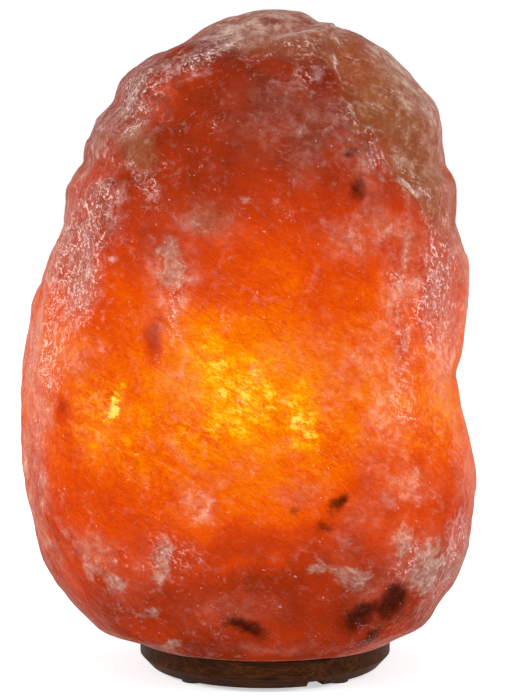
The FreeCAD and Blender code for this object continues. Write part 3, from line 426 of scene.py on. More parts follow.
def hewn_planes():
    """Every face and chip as arrays of normals, distances from the middle, and crowns. A plane
    faces as a plain ellipsoid does at its angles, and lies its depth under the lump there."""
    faces = np.array(HEWN_FACES)
    number = np.arange(CHIP_COUNT)
    chip_polar = np.arccos(1 - (1 - math.cos(LOWEST_POLAR)) * (number + 0.5) / CHIP_COUNT)
    chip_depth = CHIP_DEPTH * (1 + CHIP_VARIETY * np.sin(2.7 * number))
    polar = np.concatenate((np.radians(90 - faces[:, 1]), chip_polar))
    azimuth = np.concatenate((np.radians(faces[:, 0] - 90), GOLDEN_ANGLE * number))
    depth = np.concatenate((FACE_DEPTH * faces[:, 2], chip_depth))
    crown = np.concatenate((np.full(len(faces), FACE_CROWN), np.full(CHIP_COUNT, CHIP_CROWN)))
    ray = direction(polar, azimuth)
    across = np.where(ray[:, 0] >= 0, RIGHT_REACH, LEFT_REACH)
    deep = np.where(ray[:, 1] >= 0, BACK_REACH, FRONT_REACH)
    upright = np.where(ray[:, 2] >= 0, TOP_REACH, CORE_RISE)
    normal = ray / np.stack((across, deep, upright), axis=-1) ** 2
    normal /= np.linalg.norm(normal, axis=-1, keepdims=True)
    distance = np.sum(normal * ray, axis=-1) * body_reach(polar, azimuth) - depth
    return normal, distance, crown


def hewn_reach(polar, azimuth):
    """The lump, cut back by each plane that faces a direction. A cut lies at distance / facing +
    crown * off + lift * off^2, where facing is the cosine to the plane's normal and off is what
    it lacks of 1. Where two are nearly equal, the edge between them is rounded."""
    ray = direction(polar, azimuth)
    reach = body_reach(polar, azimuth)
    for normal, distance, crown in zip(*hewn_planes()):
        facing = ray @ normal
        near = facing > FACE_LIMIT
        off = 1.0 - facing[near]
        cut = distance / facing[near] + crown * off + FACE_LIFT * off ** 2
        overlap = np.maximum(EDGE_SOFTNESS - np.abs(reach[near] - cut), 0.0) / EDGE_SOFTNESS
        reach[near] = np.minimum(reach[near], cut) - overlap ** 2 * EDGE_SOFTNESS / 4
    return reach


def hewn_points(polar, azimuth):
    """Points of the hewn surface."""
    reach = hewn_reach(polar, azimuth)
    return direction(polar, azimuth) * reach[..., None] + np.array((0.0, 0.0, CORE_Z))


def scallop_relief(points, count, reach, depth, seed):
    """How deep shell-shaped chips are struck, and how near each point is to a crest between two
    of them. A chip is a bowl, depth * (1 - (distance / reach)^2), and the deepest bowl at a
    point holds."""
    pick = np.random.default_rng(seed)
    number = np.arange(count)
    polar = np.arccos(1 - (1 - math.cos(LOWEST_POLAR)) * (number + pick.uniform(0, 1, count)) / count)
    azimuth = (GOLDEN_ANGLE * number + pick.uniform(-0.2, 0.2, count)) % (2 * math.pi)
    middle = hewn_points(polar, azimuth)
    size = pick.uniform(0.0, 1.0, count)
    far = reach[0] + (reach[1] - reach[0]) * size
    deep = depth[0] + (depth[1] - depth[0]) * size * pick.uniform(0.4, 1.0, count)
    deepest = np.zeros(points.shape[:-1])
    second = np.zeros(points.shape[:-1])
    for centre, one_far, one_deep in zip(middle, far, deep):
        gap = points - centre
        bowl = one_deep * (1 - np.sum(gap * gap, axis=-1) / one_far ** 2)
        second = np.maximum(second, np.minimum(deepest, bowl))
        deepest = np.maximum(deepest, bowl)
    return deepest, 1.0 - smooth_step(deepest - second, 0.0, CREST_WIDTH * depth[1])


def photo_place(points):
    """Where the photograph's camera sees each point, in pixels from the top left: the focal length
    times the point's place across or up, over its distance ahead."""
    gap = points - np.array(CAMERA_PLACE)
    ahead = gap[..., 1] * math.cos(CAMERA_PITCH) - gap[..., 2] * math.sin(CAMERA_PITCH)
    above = gap[..., 1] * math.sin(CAMERA_PITCH) + gap[..., 2] * math.cos(CAMERA_PITCH)
    return (PHOTO_WIDTH / 2 + FOCAL_PIXELS * gap[..., 0] / ahead,
            PHOTO_HEIGHT / 2 - FOCAL_PIXELS * above / ahead)


def blot_mask(across, down, blots, full):
    """Soft ellipses. Each is full up to a share of its size, and from there it fades out."""
    mask = np.zeros(across.shape)
    for x, y, length, width, turn, strength in blots:
        lean = math.radians(turn)
        right = across - x
        up = y - down
        along = (right * math.cos(lean) + up * math.sin(lean)) / length
        beside = (up * math.cos(lean) - right * math.sin(lean)) / width
        fade = 1.0 - smooth_step(np.hypot(along, beside), full, BLOT_END)
        mask = np.maximum(mask, strength * fade)
    return mask


def ledge_fields(across, down):
    """The broken edges: how far each lowers the surface, a step that fades away from its line on
    the low side, and a mask of the lines themselves."""
    drop = np.zeros(across.shape)
    line = np.zeros(across.shape)
    for height, pixels in LEDGES:
        nearest = np.full(across.shape, np.inf)
        signed = np.zeros(across.shape)
        for (x0, y0), (x1, y1) in zip(pixels, pixels[1:]):
            length = math.hypot(x1 - x0, y1 - y0)
            ahead = ((across - x0) * (x1 - x0) + (down - y0) * (y1 - y0)) / length
            beside = ((down - y0) * (x1 - x0) - (across - x0) * (y1 - y0)) / length
            over = ahead - np.clip(ahead, 0.0, length)
            far = np.hypot(over, beside)
            closer = far < nearest
            nearest = np.where(closer, far, nearest)
            signed = np.where(closer, np.sign(beside) * far, signed)
        drop += height * smooth_step(signed, -LEDGE_WIDTH, LEDGE_WIDTH) * np.exp(-nearest / LEDGE_FADE)
        line = np.maximum(line, height * (1.0 - smooth_step(nearest, 0.0, LEDGE_LINE)))
    return drop, line


def strewn_mask(points, count, reach, strength, seed):
    """Soft blots strewn over the back and the sides, each a ball made taller or flatter."""
    pick = np.random.default_rng(seed)
    polar = np.arccos(pick.uniform(math.cos(LOWEST_POLAR), 1.0, count))
    azimuth = pick.uniform(-STREWN_MARGIN, math.pi + STREWN_MARGIN, count)
    middle = hewn_points(polar, azimuth)
    far = pick.uniform(*reach, count)
    deep = pick.uniform(*strength, count)
    mask = np.zeros(points.shape[:-1])
    for centre, one_far, one_deep in zip(middle, far, deep):
        gap = points - centre
        gap[..., 2] *= pick.uniform(*STREWN_SQUEEZE)
        fade = 1.0 - smooth_step(np.linalg.norm(gap, axis=-1) / one_far, STREWN_FULL, BLOT_END)
        mask = np.maximum(mask, one_deep * fade)
    return mask


def edge_correction(polar, azimuth, points):
    """How far the surface must move out for the lump's outline to pass through the photograph's
    corners. Each corner's pixel is carried to the upright plane through the lump's middle, where
    it has an angle from straight up and a reach; straight lines join them. The step between that
    reach and the lump's own widest one is full at the sides and fades out towards front and back,
    and it wavers with noise as it goes."""
    depth = -CAMERA_PLACE[1]
    rows = np.linspace(0.0, LOWEST_POLAR, EDGE_ROWS)
    wavered = polar + EDGE_WAVER * layered_noise(points, 30.0, 71, 3)
    total = np.zeros(polar.shape)
    for corners, side, middle_turn in ((RIGHT_CORNERS, 1.0, 0.0), (LEFT_CORNERS, -1.0, math.pi)):
        pixel = np.array(corners, dtype=float)
        across = (pixel[:, 0] - PHOTO_WIDTH / 2) / FOCAL_PIXELS
        up = (PHOTO_HEIGHT / 2 - pixel[:, 1]) / FOCAL_PIXELS
        ahead = depth / (math.cos(CAMERA_PITCH) + up * math.sin(CAMERA_PITCH))
        x = CAMERA_PLACE[0] + ahead * across
        rise = ahead * up * math.cos(CAMERA_PITCH) - ahead * math.sin(CAMERA_PITCH)
        z = CAMERA_PLACE[2] + rise - CORE_Z
        place = np.arctan2(np.maximum(side * x, 0.0), z)
        wanted = np.interp(rows, place, np.hypot(x, z))
        grid_polar, grid_turn = np.broadcast_arrays(rows[:, None], EDGE_SEARCH[None, :] + middle_turn)
        reach = hewn_reach(grid_polar, grid_turn)
        back = reach * np.sin(grid_polar) * np.sin(grid_turn)
        flat = np.abs(reach * np.sin(grid_polar) * np.cos(grid_turn)) * depth / (depth + back)
        tall = reach * np.cos(grid_polar)
        widest = np.hypot(flat, tall).max(axis=1)
        step = np.interp(wavered, rows, np.clip(wanted - widest, -EDGE_LIMIT, EDGE_LIMIT))
        sideways = smooth_step(side * np.cos(azimuth), *EDGE_SIDEWAYS)
        own_half = smooth_step(side * points[..., 0], -EDGE_TOP_BLEND, EDGE_TOP_BLEND)
        top = (1.0 - smooth_step(polar, *EDGE_TOP)) * own_half
        total += step * np.maximum(sideways, top)
    return total


def crystal_mesh():
    """The crystal: the hewn surface with its finer relief, the sawn flat and the bored cavity,
    as one closed skin. The relief is a lift, unevenness and grain, less the chips and the ledges,
    plus what fits the outline. Attributes say how much light comes through and where the marks
    are."""
    polar = (LOWEST_POLAR * (np.arange(OUTER_ROWS) + 1) / OUTER_ROWS)[:, None]
    azimuth = (2 * math.pi * np.arange(COLUMNS) / COLUMNS)[None, :]
    polar, azimuth = np.broadcast_arrays(polar, azimuth)
    plain = hewn_points(polar, azimuth)
    fields = crystal_marks(plain)
    broken = fields["rough"]
    large, large_crest = scallop_relief(plain, *LARGE_CHIPS)
    small, small_crest = scallop_relief(plain, *SMALL_CHIPS)
    uneven = layered_noise(plain, 22.0, 3, 5)
    grain = lattice_noise(plain, 3.4, 20) + lattice_noise(plain, 2.1, 21)
    large_share = LARGE_CHIP_SHARE[0] + LARGE_CHIP_SHARE[1] * broken
    small_share = SMALL_CHIP_SHARE[0] + SMALL_CHIP_SHARE[1] * broken
    grain_depth = GRAIN_DEPTH[0] + GRAIN_DEPTH[1] * broken
    height = UNEVEN_DEPTH * uneven - large_share * large - small_share * small
    height += grain_depth * grain + SKIN_LIFT + edge_correction(polar, azimuth, plain)
    height -= fields.pop("drop")
    fields["crest"] = np.maximum(large_crest, 0.7 * small_crest)
    fields["thin"] = 0.3 * large + 0.8 * small
    height *= smooth_step(plain[..., 2], SEAT_Z, SEAT_Z + SEAT_FADE)
    outer = plain + direction(polar, azimuth) * height[..., None]
    outer[..., 2] = np.maximum(outer[..., 2], SEAT_Z)
    outer[-1, :, 2] = SEAT_Z
    ring = np.stack((np.cos(azimuth[0]), np.sin(azimuth[0]), np.zeros(COLUMNS)), axis=-1)
    wall_heights = np.linspace(SEAT_Z, CAVITY_TOP, WALL_ROWS + 1)[1:]
    leans = np.linspace(0.0, math.pi / 2, DOME_ROWS + 2)[1:-1]
    rise = CAVITY_CROWN - CAVITY_TOP
    inner = [ring * radius + UP * SEAT_Z for radius in FLAT_RADII]
    inner += [ring * CAVITY_RADIUS + UP * place for place in wall_heights]
    inner += [ring * CAVITY_RADIUS * math.cos(lean) + UP * (CAVITY_TOP + rise * math.sin(lean))
              for lean in leans]
    rings = np.concatenate((outer, np.array(inner)))
    mesh = skin_mesh("salt_crystal_skin", rings, outer[0].mean(axis=0), UP * CAVITY_CROWN)
    for name, field in fields.items():
        values = np.zeros(len(mesh.vertices), dtype=np.float32)
        values[:field.size] = field.ravel()
        if name == "light":
            values[field.size:] = 1.0
        values[rings.shape[0] * COLUMNS] = field[0].mean()
        mesh.attributes.new(name, "FLOAT", "POINT").data.foreach_set("value", values)
    return mesh


def wandered(pixels, points, seed):
    """Pixel coordinates that wander a little with noise, so that blots get ragged edges."""
    broad = 6.0 * layered_noise(points, 18.0, seed, 2)
    return pixels + broad + 5.0 * layered_noise(points, 8.0, seed + 3, 3)


def crystal_marks(points):
    """What the crystal's relief and finish read at each point: how much of the bulb's light comes
    through, exp(-(distance - size) / fall) from the glow's middle, and each mark, by the photograph
    on the front and strewn on the other sides. The glow is wide, and it ends sooner downwards."""
    gap = points - GLOW_MIDDLE
    gap[..., 2] *= np.where(gap[..., 2] < 0, GLOW_BELOW, 1.0)
    gap[..., 0] *= GLOW_ACROSS
    far = np.linalg.norm(gap, axis=-1) + GLOW_WAVER * layered_noise(points, 46.0, 31, 3)
    light = np.exp(-(far - GLOW_SIZE) / GLOW_FALL)
    across, down = photo_place(points)
    across = wandered(across, points, 41)
    down = wandered(down, points, 51)
    wander = np.stack([layered_noise(points, 14.0, seed, 4) for seed in (61, 66, 71)], axis=-1)
    strewn_points = points + 5.0 * wander
    seen = 1.0 - smooth_step(points[..., 1], *FRONT_DEPTHS)
    drop, line = ledge_fields(across, down)
    fields = {"light": np.clip(light, 0.0, GLOW_LIMIT)}
    for name, (blots, full, *strewn) in MARKS.items():
        elsewhere = (1.0 - seen) * strewn_mask(strewn_points, *strewn)
        if name == "hot":
            elsewhere *= light      # away from the bulb no spot is hot
        fields[name] = seen * blot_mask(across, down, blots, full) + elsewhere
    fields["drop"] = seen * drop
    fields["line"] = seen * line
    return fields


# ---------------------------------------------------------------- threads and coil
def threaded_rings(middle, relief, heights, thread_bottom, thread_top):
    """Rings of a rolled thread: radius = middle + relief * cos(2 pi (height / pitch - turn)), a
    right-handed ridge that climbs one pitch a turn. It fades out over half a pitch at each end
    of the thread."""
    turn = np.arange(THREAD_COLUMNS) / THREAD_COLUMNS
    height = np.asarray(heights)[:, None]
    wave = np.cos(2 * math.pi * (height / THREAD_PITCH - turn))
    fade = smooth_step(height, thread_bottom, thread_bottom + THREAD_PITCH / 2)
    fade = fade * (1.0 - smooth_step(height, thread_top - THREAD_PITCH / 2, thread_top))
    radius = middle + relief * wave * fade
    angle = 2 * math.pi * turn
    return np.stack((radius * np.cos(angle), radius * np.sin(angle), height + 0.0 * radius), axis=-1)


def round_rings(*profile):
    """Plain rings at (radius, height) pairs, as a thread without relief."""
    return np.concatenate([threaded_rings(radius, 0.0, [height], 0.0, 1.0)
                           for radius, height in profile])


def thread_sides(outer, inner, relief, down, bottom, top):
    """Both sides of a threaded wall: rings down its outside, and rings up its inside."""
    return (threaded_rings(outer, relief, down, bottom, top),
            threaded_rings(inner, relief, down[::-1], bottom, top))


def bulb_cap_mesh():
    """The bulb's metal cap: a rolled thread and the skirt over it, as a wall of even thickness.
    Its profile runs down the outside and up the inside, with small steps round the bends."""
    down = np.linspace(CAP_THREAD_TOP_Z - CAP_ROW_MARGIN, CAP_FOOT_Z + CAP_ROW_MARGIN, THREAD_ROWS)
    inner_thread = CAP_THREAD_RADIUS - CAP_METAL
    inner_skirt = SKIRT_RADIUS - CAP_METAL
    outside, inside = thread_sides(CAP_THREAD_RADIUS, inner_thread, CAP_THREAD_RELIEF, down,
                                   CAP_FOOT_Z + CAP_THREAD_START, CAP_THREAD_TOP_Z)
    rings = np.concatenate((
        round_rings((inner_skirt + METAL_EDGE, SKIRT_TOP_Z), (SKIRT_RADIUS - METAL_EDGE, SKIRT_TOP_Z),
                    (SKIRT_RADIUS, SKIRT_TOP_Z - METAL_EDGE), (SKIRT_RADIUS, SKIRT_Z + SKIRT_BEND),
                    (SKIRT_RADIUS - 0.15, SKIRT_Z),
                    (CAP_THREAD_RADIUS + 0.35, CAP_THREAD_TOP_Z + 0.3)),
        outside,
        round_rings((CAP_THREAD_RADIUS - METAL_EDGE, CAP_FOOT_Z + 0.05),
                    (inner_thread + METAL_EDGE, CAP_FOOT_Z)),
        inside,
        round_rings((CAP_THREAD_RADIUS - 0.05, CAP_THREAD_TOP_Z + 0.5),
                    (inner_skirt - 0.15, SKIRT_Z + 0.25),
                    (inner_skirt, SKIRT_Z + SKIRT_BEND + METAL_EDGE),
                    (inner_skirt, SKIRT_TOP_Z - METAL_EDGE))))
    return skin_mesh("bulb_cap_skin", rings, looped=True)


def screw_shell_mesh():
    """The holder's brass screw shell: the same thread with a little room round it, and a floor
    with a hole. Its profile too runs down the outside and up the inside."""
    outer = SHELL_THREAD_RADIUS + SHELL_METAL
    floor_top = SHELL_FLOOR_Z + SHELL_FLOOR
    down = np.linspace(SHELL_TOP_Z - SHELL_LIP, SHELL_FLOOR_Z + SHELL_CORNER, THREAD_ROWS)
    outside, inside = thread_sides(outer, SHELL_THREAD_RADIUS, SHELL_THREAD_RELIEF, down,
                                   SHELL_FLOOR_Z + SHELL_THREAD_START, SHELL_TOP_Z)
    rings = np.concatenate((
        round_rings((outer - 0.15, SHELL_TOP_Z)),
        outside,
        round_rings((outer - METAL_EDGE, SHELL_FLOOR_Z + METAL_EDGE), (outer - 0.4, SHELL_FLOOR_Z),
                    (SHELL_HOLE, SHELL_FLOOR_Z), (SHELL_HOLE, floor_top),
                    (SHELL_THREAD_RADIUS - 0.3, floor_top)),
        inside,
        round_rings((SHELL_THREAD_RADIUS + METAL_EDGE, SHELL_TOP_Z))))
    return skin_mesh("screw_shell_skin", rings, looped=True)


def filament_mesh():
    """The filament: a round wire along a coil whose middle line is half a level ring. The coil's
    offset turns evenly between the ring's outward direction and straight up."""
    share = np.linspace(0.0, 1.0, COIL_TURNS * COIL_STEPS)
    along = math.pi * share
    spin = 2 * math.pi * COIL_TURNS * share
    outward = np.stack((np.cos(along), np.sin(along), 0.0 * along), axis=-1)
    offset = outward * np.cos(spin)[:, None] + UP * np.sin(spin)[:, None]
    path = outward * FILAMENT_RING + UP * FILAMENT_Z + offset * COIL_RADIUS
    ahead = np.gradient(path, axis=0)
    ahead /= np.linalg.norm(ahead, axis=-1, keepdims=True)
    beside = np.cross(offset, ahead)
    beside /= np.linalg.norm(beside, axis=-1, keepdims=True)
    out = np.cross(ahead, beside)
    angle = (2 * math.pi * np.arange(WIRE_SIDES) / WIRE_SIDES)[None, :, None]
    circle = out[:, None, :] * np.cos(angle) + beside[:, None, :] * np.sin(angle)
    rings = path[:, None, :] + COIL_WIRE * circle
    return skin_mesh("filament_skin", rings, path[0], path[-1])


# ---------------------------------------------------------------- building materials
def colour(red, green, blue):
    """A colour as it shows on screen, 0 to 255, as the shader's linear values."""
    shares = [value / 255.0 for value in (red, green, blue)]
    return tuple(share / 12.92 if share <= 0.04045 else ((share + 0.055) / 1.055) ** 2.4
                 for share in shares) + (1.0,)


def connect(tree, node, inputs):
    """Links each of a node's named inputs to a socket, or sets it to a value."""
    for name, value in inputs.items():
        if isinstance(value, bpy.types.NodeSocket):
            tree.links.new(value, node.inputs[name])
        else:
            node.inputs[name].default_value = value


def add(tree, kind, inputs=None, **settings):
    """A node with its settings and its inputs."""
    made = tree.nodes.new(kind)
    for name, value in settings.items():
        setattr(made, name, value)
    connect(tree, made, inputs or {})
    return made


def maths(tree, operation, first, second=0.0, third=0.0):
    """One sum on two values, or three."""
    inputs = {0: first, 1: second, 2: third}
    return add(tree, "ShaderNodeMath", inputs, operation=operation).outputs[0]


def scaled(tree, value, factor, offset=0.0):
    """A value times a factor, plus an offset."""
    return maths(tree, "MULTIPLY_ADD", value, factor, offset)


def joined(tree, base, value, factor):
    """A base, plus a value times a factor."""
    return maths(tree, "MULTIPLY_ADD", value, factor, base)


def times(tree, first, second):
    """One value times another."""
    return maths(tree, "MULTIPLY", first, second)


def larger(tree, first, second):
    """The larger of two values."""
    return maths(tree, "MAXIMUM", first, second)


def centred(tree, value):
    """A value from 0 to 1, moved to lie round 0."""
    return maths(tree, "SUBTRACT", value, 0.5)


def swayed(tree, base, value, factor):
    """A base that a value from 0 to 1 moves up and down, by half the factor at most."""
    return joined(tree, base, centred(tree, value), factor)


def off_middle(tree, value):
    """How far a value lies from 0.5. It is smallest along thin winding lines in a noise."""
    return maths(tree, "ABSOLUTE", centred(tree, value))


def blend(tree, share, first, second):
    """Two colours, mixed by a share."""
    return add(tree, "ShaderNodeMix", {0: share, 6: first, 7: second}, data_type="RGBA").outputs[2]


def ranged(tree, value, low, high, start=0.0, end=1.0):
    """A value's place between low and high, eased, as a share from start to end."""
    made = add(tree, "ShaderNodeMapRange", {0: value, 1: low, 2: high, 3: start, 4: end},
               interpolation_type="SMOOTHSTEP")
    return made.outputs[0]


def placed(tree, scale=(1.0, 1.0, 1.0), turn=0.0):
    """Object coordinates, turned about Y and then scaled. A pattern is long where its scale is
    small, and a negative turn slopes it down to the right as the lamp is seen from the front."""
    source = add(tree, "ShaderNodeTexCoord").outputs["Object"]
    turned = add(tree, "ShaderNodeMapping", {"Vector": source, "Rotation": (0.0, turn, 0.0)}).outputs[0]
    return add(tree, "ShaderNodeMapping", {"Vector": turned, "Scale": scale}).outputs[0]


def noise(tree, place, scale, detail=3.0, roughness=0.5, distortion=0.0):
    """Cloudy values from about 0 to 1."""
    made = add(tree, "ShaderNodeTexNoise", {"Vector": place, "Scale": scale, "Detail": detail,
                                            "Roughness": roughness, "Distortion": distortion})
    return made.outputs[0]


def cells(tree, place, scale, feature="F1"):
    """The cells round scattered points. Their distance is to the nearest point, or to the cell's
    edge, and their colour is random."""
    return add(tree, "ShaderNodeTexVoronoi", {"Vector": place, "Scale": scale}, feature=feature).outputs


def ramp(tree, value, *stops):
    """A colour for each value, through stops of a place and a colour as it shows on screen."""
    made = add(tree, "ShaderNodeValToRGB", {0: value})
    elements = made.color_ramp.elements
    (first, first_tint), *between, (last, last_tint) = stops
    elements[0].position = first
    elements[0].color = colour(*first_tint)
    elements[1].position = last
    elements[1].color = colour(*last_tint)
    for place, tint in between:
        elements.new(place).color = colour(*tint)
    return made.outputs[0]


def marked(tree, name):
    """A mesh attribute's value."""
    return add(tree, "ShaderNodeAttribute", attribute_name=name).outputs["Fac"]


def new_material(name):
    """An empty material: its node tree and its shader, which is linked to the output."""
    material = bpy.data.materials.new(name)
    material.use_nodes = True
    tree = material.node_tree
    tree.nodes.clear()
    shader = add(tree, "ShaderNodeBsdfPrincipled")
    add(tree, "ShaderNodeOutputMaterial", {"Surface": shader.outputs[0]})
    return material, tree, shader


def bumped(tree, height, distance, strength=1.0):
    """A normal from a height, whose full range stands for a distance in metres."""
    made = add(tree, "ShaderNodeBump", {"Height": height, "Distance": distance, "Strength": strength})
    return made.outputs[0]


def salt_patterns(tree):
    """The attributes, places and noises that the parts of the salt's finish share."""
    salt = {name: marked(tree, name) for name in ("light", "line", "crest", "thin", *MARKS)}
    place = placed(tree)
    slanted = placed(tree, (0.6, 0.8, 1.1), -0.5)
    warp = add(tree, "ShaderNodeTexNoise", {"Vector": place, "Scale": 160.0}).outputs["Color"]
    push = add(tree, "ShaderNodeVectorMath", {0: warp, "Scale": 0.006}, operation="SCALE").outputs[0]
    salt["place"] = place
    salt["slanted"] = slanted
    salt["bent"] = add(tree, "ShaderNodeVectorMath", {0: place, 1: push}, operation="ADD").outputs[0]
    salt["clouds"] = noise(tree, place, 38.0, 5.0, 0.6, 0.6)
    salt["frost"] = noise(tree, place, 150.0, 6.0, 0.72, 0.3)
    salt["fine"] = noise(tree, place, 520.0, 3.0, 0.6)
    salt["clumps"] = noise(tree, place, 70.0, 4.0, 0.7)
    salt["wisps"] = noise(tree, slanted, 330.0, 5.0, 0.68, 0.8)
    salt["drifts"] = noise(tree, slanted, 85.0, 5.0, 0.62, 0.8)
    salt["grains"] = noise(tree, placed(tree, (0.5, 0.7, 1.0), -0.45), 780.0, 3.0, 0.62, 0.6)
    salt["ridges"] = noise(tree, placed(tree, (1.0, 1.0, 0.62), 0.3), 200.0, 8.0, 0.72, 0.1)
    return salt


def glow_level(tree, salt):
    """How brightly the salt glows: the light that comes through, swayed by clouds, drifts, flow
    and wisps, darker in folds, strands and cracks, with sparks in the hot spots and grains over
    all. It is lower in the red and the broken zones."""
    light = salt["light"]
    hot = salt["hot"]
    slanted = salt["slanted"]
    flow = noise(tree, placed(tree, (0.5, 0.6, 1.3), -0.6), 70.0, 6.0, 0.66, 2.4)
    folds = off_middle(tree, noise(tree, slanted, 170.0, 5.0, 0.65, 1.6))
    strand_place = placed(tree, (0.35, 0.6, 1.5), -0.55)
    strands = off_middle(tree, noise(tree, strand_place, 300.0, 4.0, 0.6, 1.8))
    sparks = ranged(tree, noise(tree, slanted, 210.0, 4.0, 0.7, 0.4), 0.42, 0.66, 0.14, 0.62)
    crack_edge = cells(tree, salt["bent"], 320.0, "DISTANCE_TO_EDGE")["Distance"]
    cracks = ranged(tree, crack_edge, 0.0, 0.2, -0.15, 0.05)
    swing = swayed(tree, scaled(tree, centred(tree, salt["wisps"]), 0.34), salt["drifts"], 0.5)
    swing = swayed(tree, swing, flow, 0.5)
    level = swayed(tree, light, salt["clouds"], scaled(tree, light, 0.3, 0.14))
    level = joined(tree, level, swing, scaled(tree, light, 0.85, 0.1))
    level = joined(tree, level, ranged(tree, folds, 0.0, 0.04, -0.13, 0.0), light)
    level = joined(tree, level, ranged(tree, strands, 0.0, 0.05, -0.12, 0.09), light)
    level = joined(tree, level, hot, sparks)
    level = joined(tree, level, maths(tree, "MINIMUM", hot, 1.0), cracks)
    level = swayed(tree, level, salt["grains"], scaled(tree, light, 0.2, 0.12))
    level = swayed(tree, level, salt["thin"], 0.16)
    level = times(tree, level, scaled(tree, salt["red"], -0.42, 1.0))
    return times(tree, level, scaled(tree, salt["rough"], -0.12, 1.0))


def dark_share(tree, salt):
    """How far the dark spots hide the salt, with edges torn by noise."""
    ragged = noise(tree, salt["place"], 240.0, 4.0, 0.7)
    return scaled(tree, ranged(tree, swayed(tree, salt["dark"], ragged, 0.8), 0.2, 1.0), 0.92)


def glow_colour(tree, salt, level, dark):
    """The colour of the light in the salt, from dark red to yellow. It is amber in the brown zones
    and nearly black in the dark spots."""
    stops = [(place / BRIGHTEST, tint) for place, tint in GLOW_COLOURS]
    glow = ramp(tree, scaled(tree, level, 1.0 / BRIGHTEST), *stops)
    amber = ramp(tree, swayed(tree, salt["frost"], salt["fine"], 0.5),
                 (0.32, (126, 70, 40)), (0.5, (142, 85, 52)), (0.7, (162, 108, 74)))
    glow = blend(tree, scaled(tree, salt["brown"], 0.85), glow, amber)
    return blend(tree, dark, glow, colour(50, 14, 6))


def pale_share(tree, salt, dark):
    """How pale the skin is: torn patches with thin painted glint strokes among them, soft veils with a
    painted pale rim light along the outline and, away from the light, small flakes and swirls in clumps."""
    frost = salt["frost"]
    torn = swayed(tree, swayed(tree, salt["pale"], salt["fine"], 0.6), frost, 1.7)
    patches = times(tree, ranged(tree, torn, 0.34, 1.2), ranged(tree, salt["wisps"], 0.3, 0.62, 0.42, 0.92))
    torn_veil = swayed(tree, salt["drifts"], frost, 1.2)
    veils_and_rim_light = times(tree, salt["veil_and_rim_light"], ranged(tree, torn_veil, 0.25, 0.75, 0.15, 0.7))
    flakes = ranged(tree, noise(tree, salt["place"], 300.0, 5.0, 0.78, 0.4), 0.56, 0.7, 0.0, 0.4)
    swirls = ranged(tree, noise(tree, salt["slanted"], 190.0, 6.0, 0.74, 1.4), 0.54, 0.64, 0.0, 0.45)
    swirls = times(tree, swirls, ranged(tree, salt["clumps"], 0.42, 0.62))
    flakes = times(tree, larger(tree, flakes, swirls), scaled(tree, salt["light"], -0.8, 1.0))
    pale = larger(tree, larger(tree, patches, veils_and_rim_light), flakes)
    return times(tree, pale, scaled(tree, dark, -0.85, 1.0))


def painted_glint_share(tree, salt):
    """How much painted white glint lies on the skin: painted highlights on a net of small crests,
    along the crests of chips and ledges, and in specks. All are strongest in the broken zones."""
    broken = salt["rough"]
    ridge = ranged(tree, off_middle(tree, salt["ridges"]), 0.0, 0.04, 1.0, 0.0)
    glint_net = times(tree, ridge, ranged(tree, salt["grains"], 0.44, 0.58, 0.0, 1.5))
    glint_net = times(tree, glint_net, ranged(tree, joined(tree, salt["clumps"], broken, 0.55), 0.55, 1.0))
    crest_glints = times(tree, ranged(tree, salt["crest"], 0.5, 1.0), scaled(tree, broken, 0.9, 0.1))
    crest_glints = larger(tree, crest_glints, ranged(tree, salt["line"], 0.3, 2.0))
    crest_glints = scaled(tree, times(tree, crest_glints, ranged(tree, salt["frost"], 0.48, 0.66)), 0.75)
    dots = cells(tree, salt["bent"], 300.0)
    chosen = maths(tree, "GREATER_THAN", joined(tree, dots["Color"], broken, 0.4), 0.72)
    glint_specks = times(tree, ranged(tree, dots["Distance"], 0.04, 0.16, 1.0, 0.0), chosen)
    glint_specks = times(tree, glint_specks, scaled(tree, broken, 0.5, 0.4))
    return larger(tree, larger(tree, glint_net, crest_glints), glint_specks)


def crag_height(tree, salt):
    """The height of the finest relief: frost everywhere, and crags in the broken zones."""
    pits = cells(tree, salt["place"], 300.0)["Distance"]
    crags = joined(tree, scaled(tree, pits, 0.5), salt["ridges"], 1.6)
    crags = joined(tree, crags, salt["fine"], 0.4)
    return joined(tree, scaled(tree, salt["frost"], 0.5), crags, scaled(tree, salt["rough"], 1.0, 0.2))


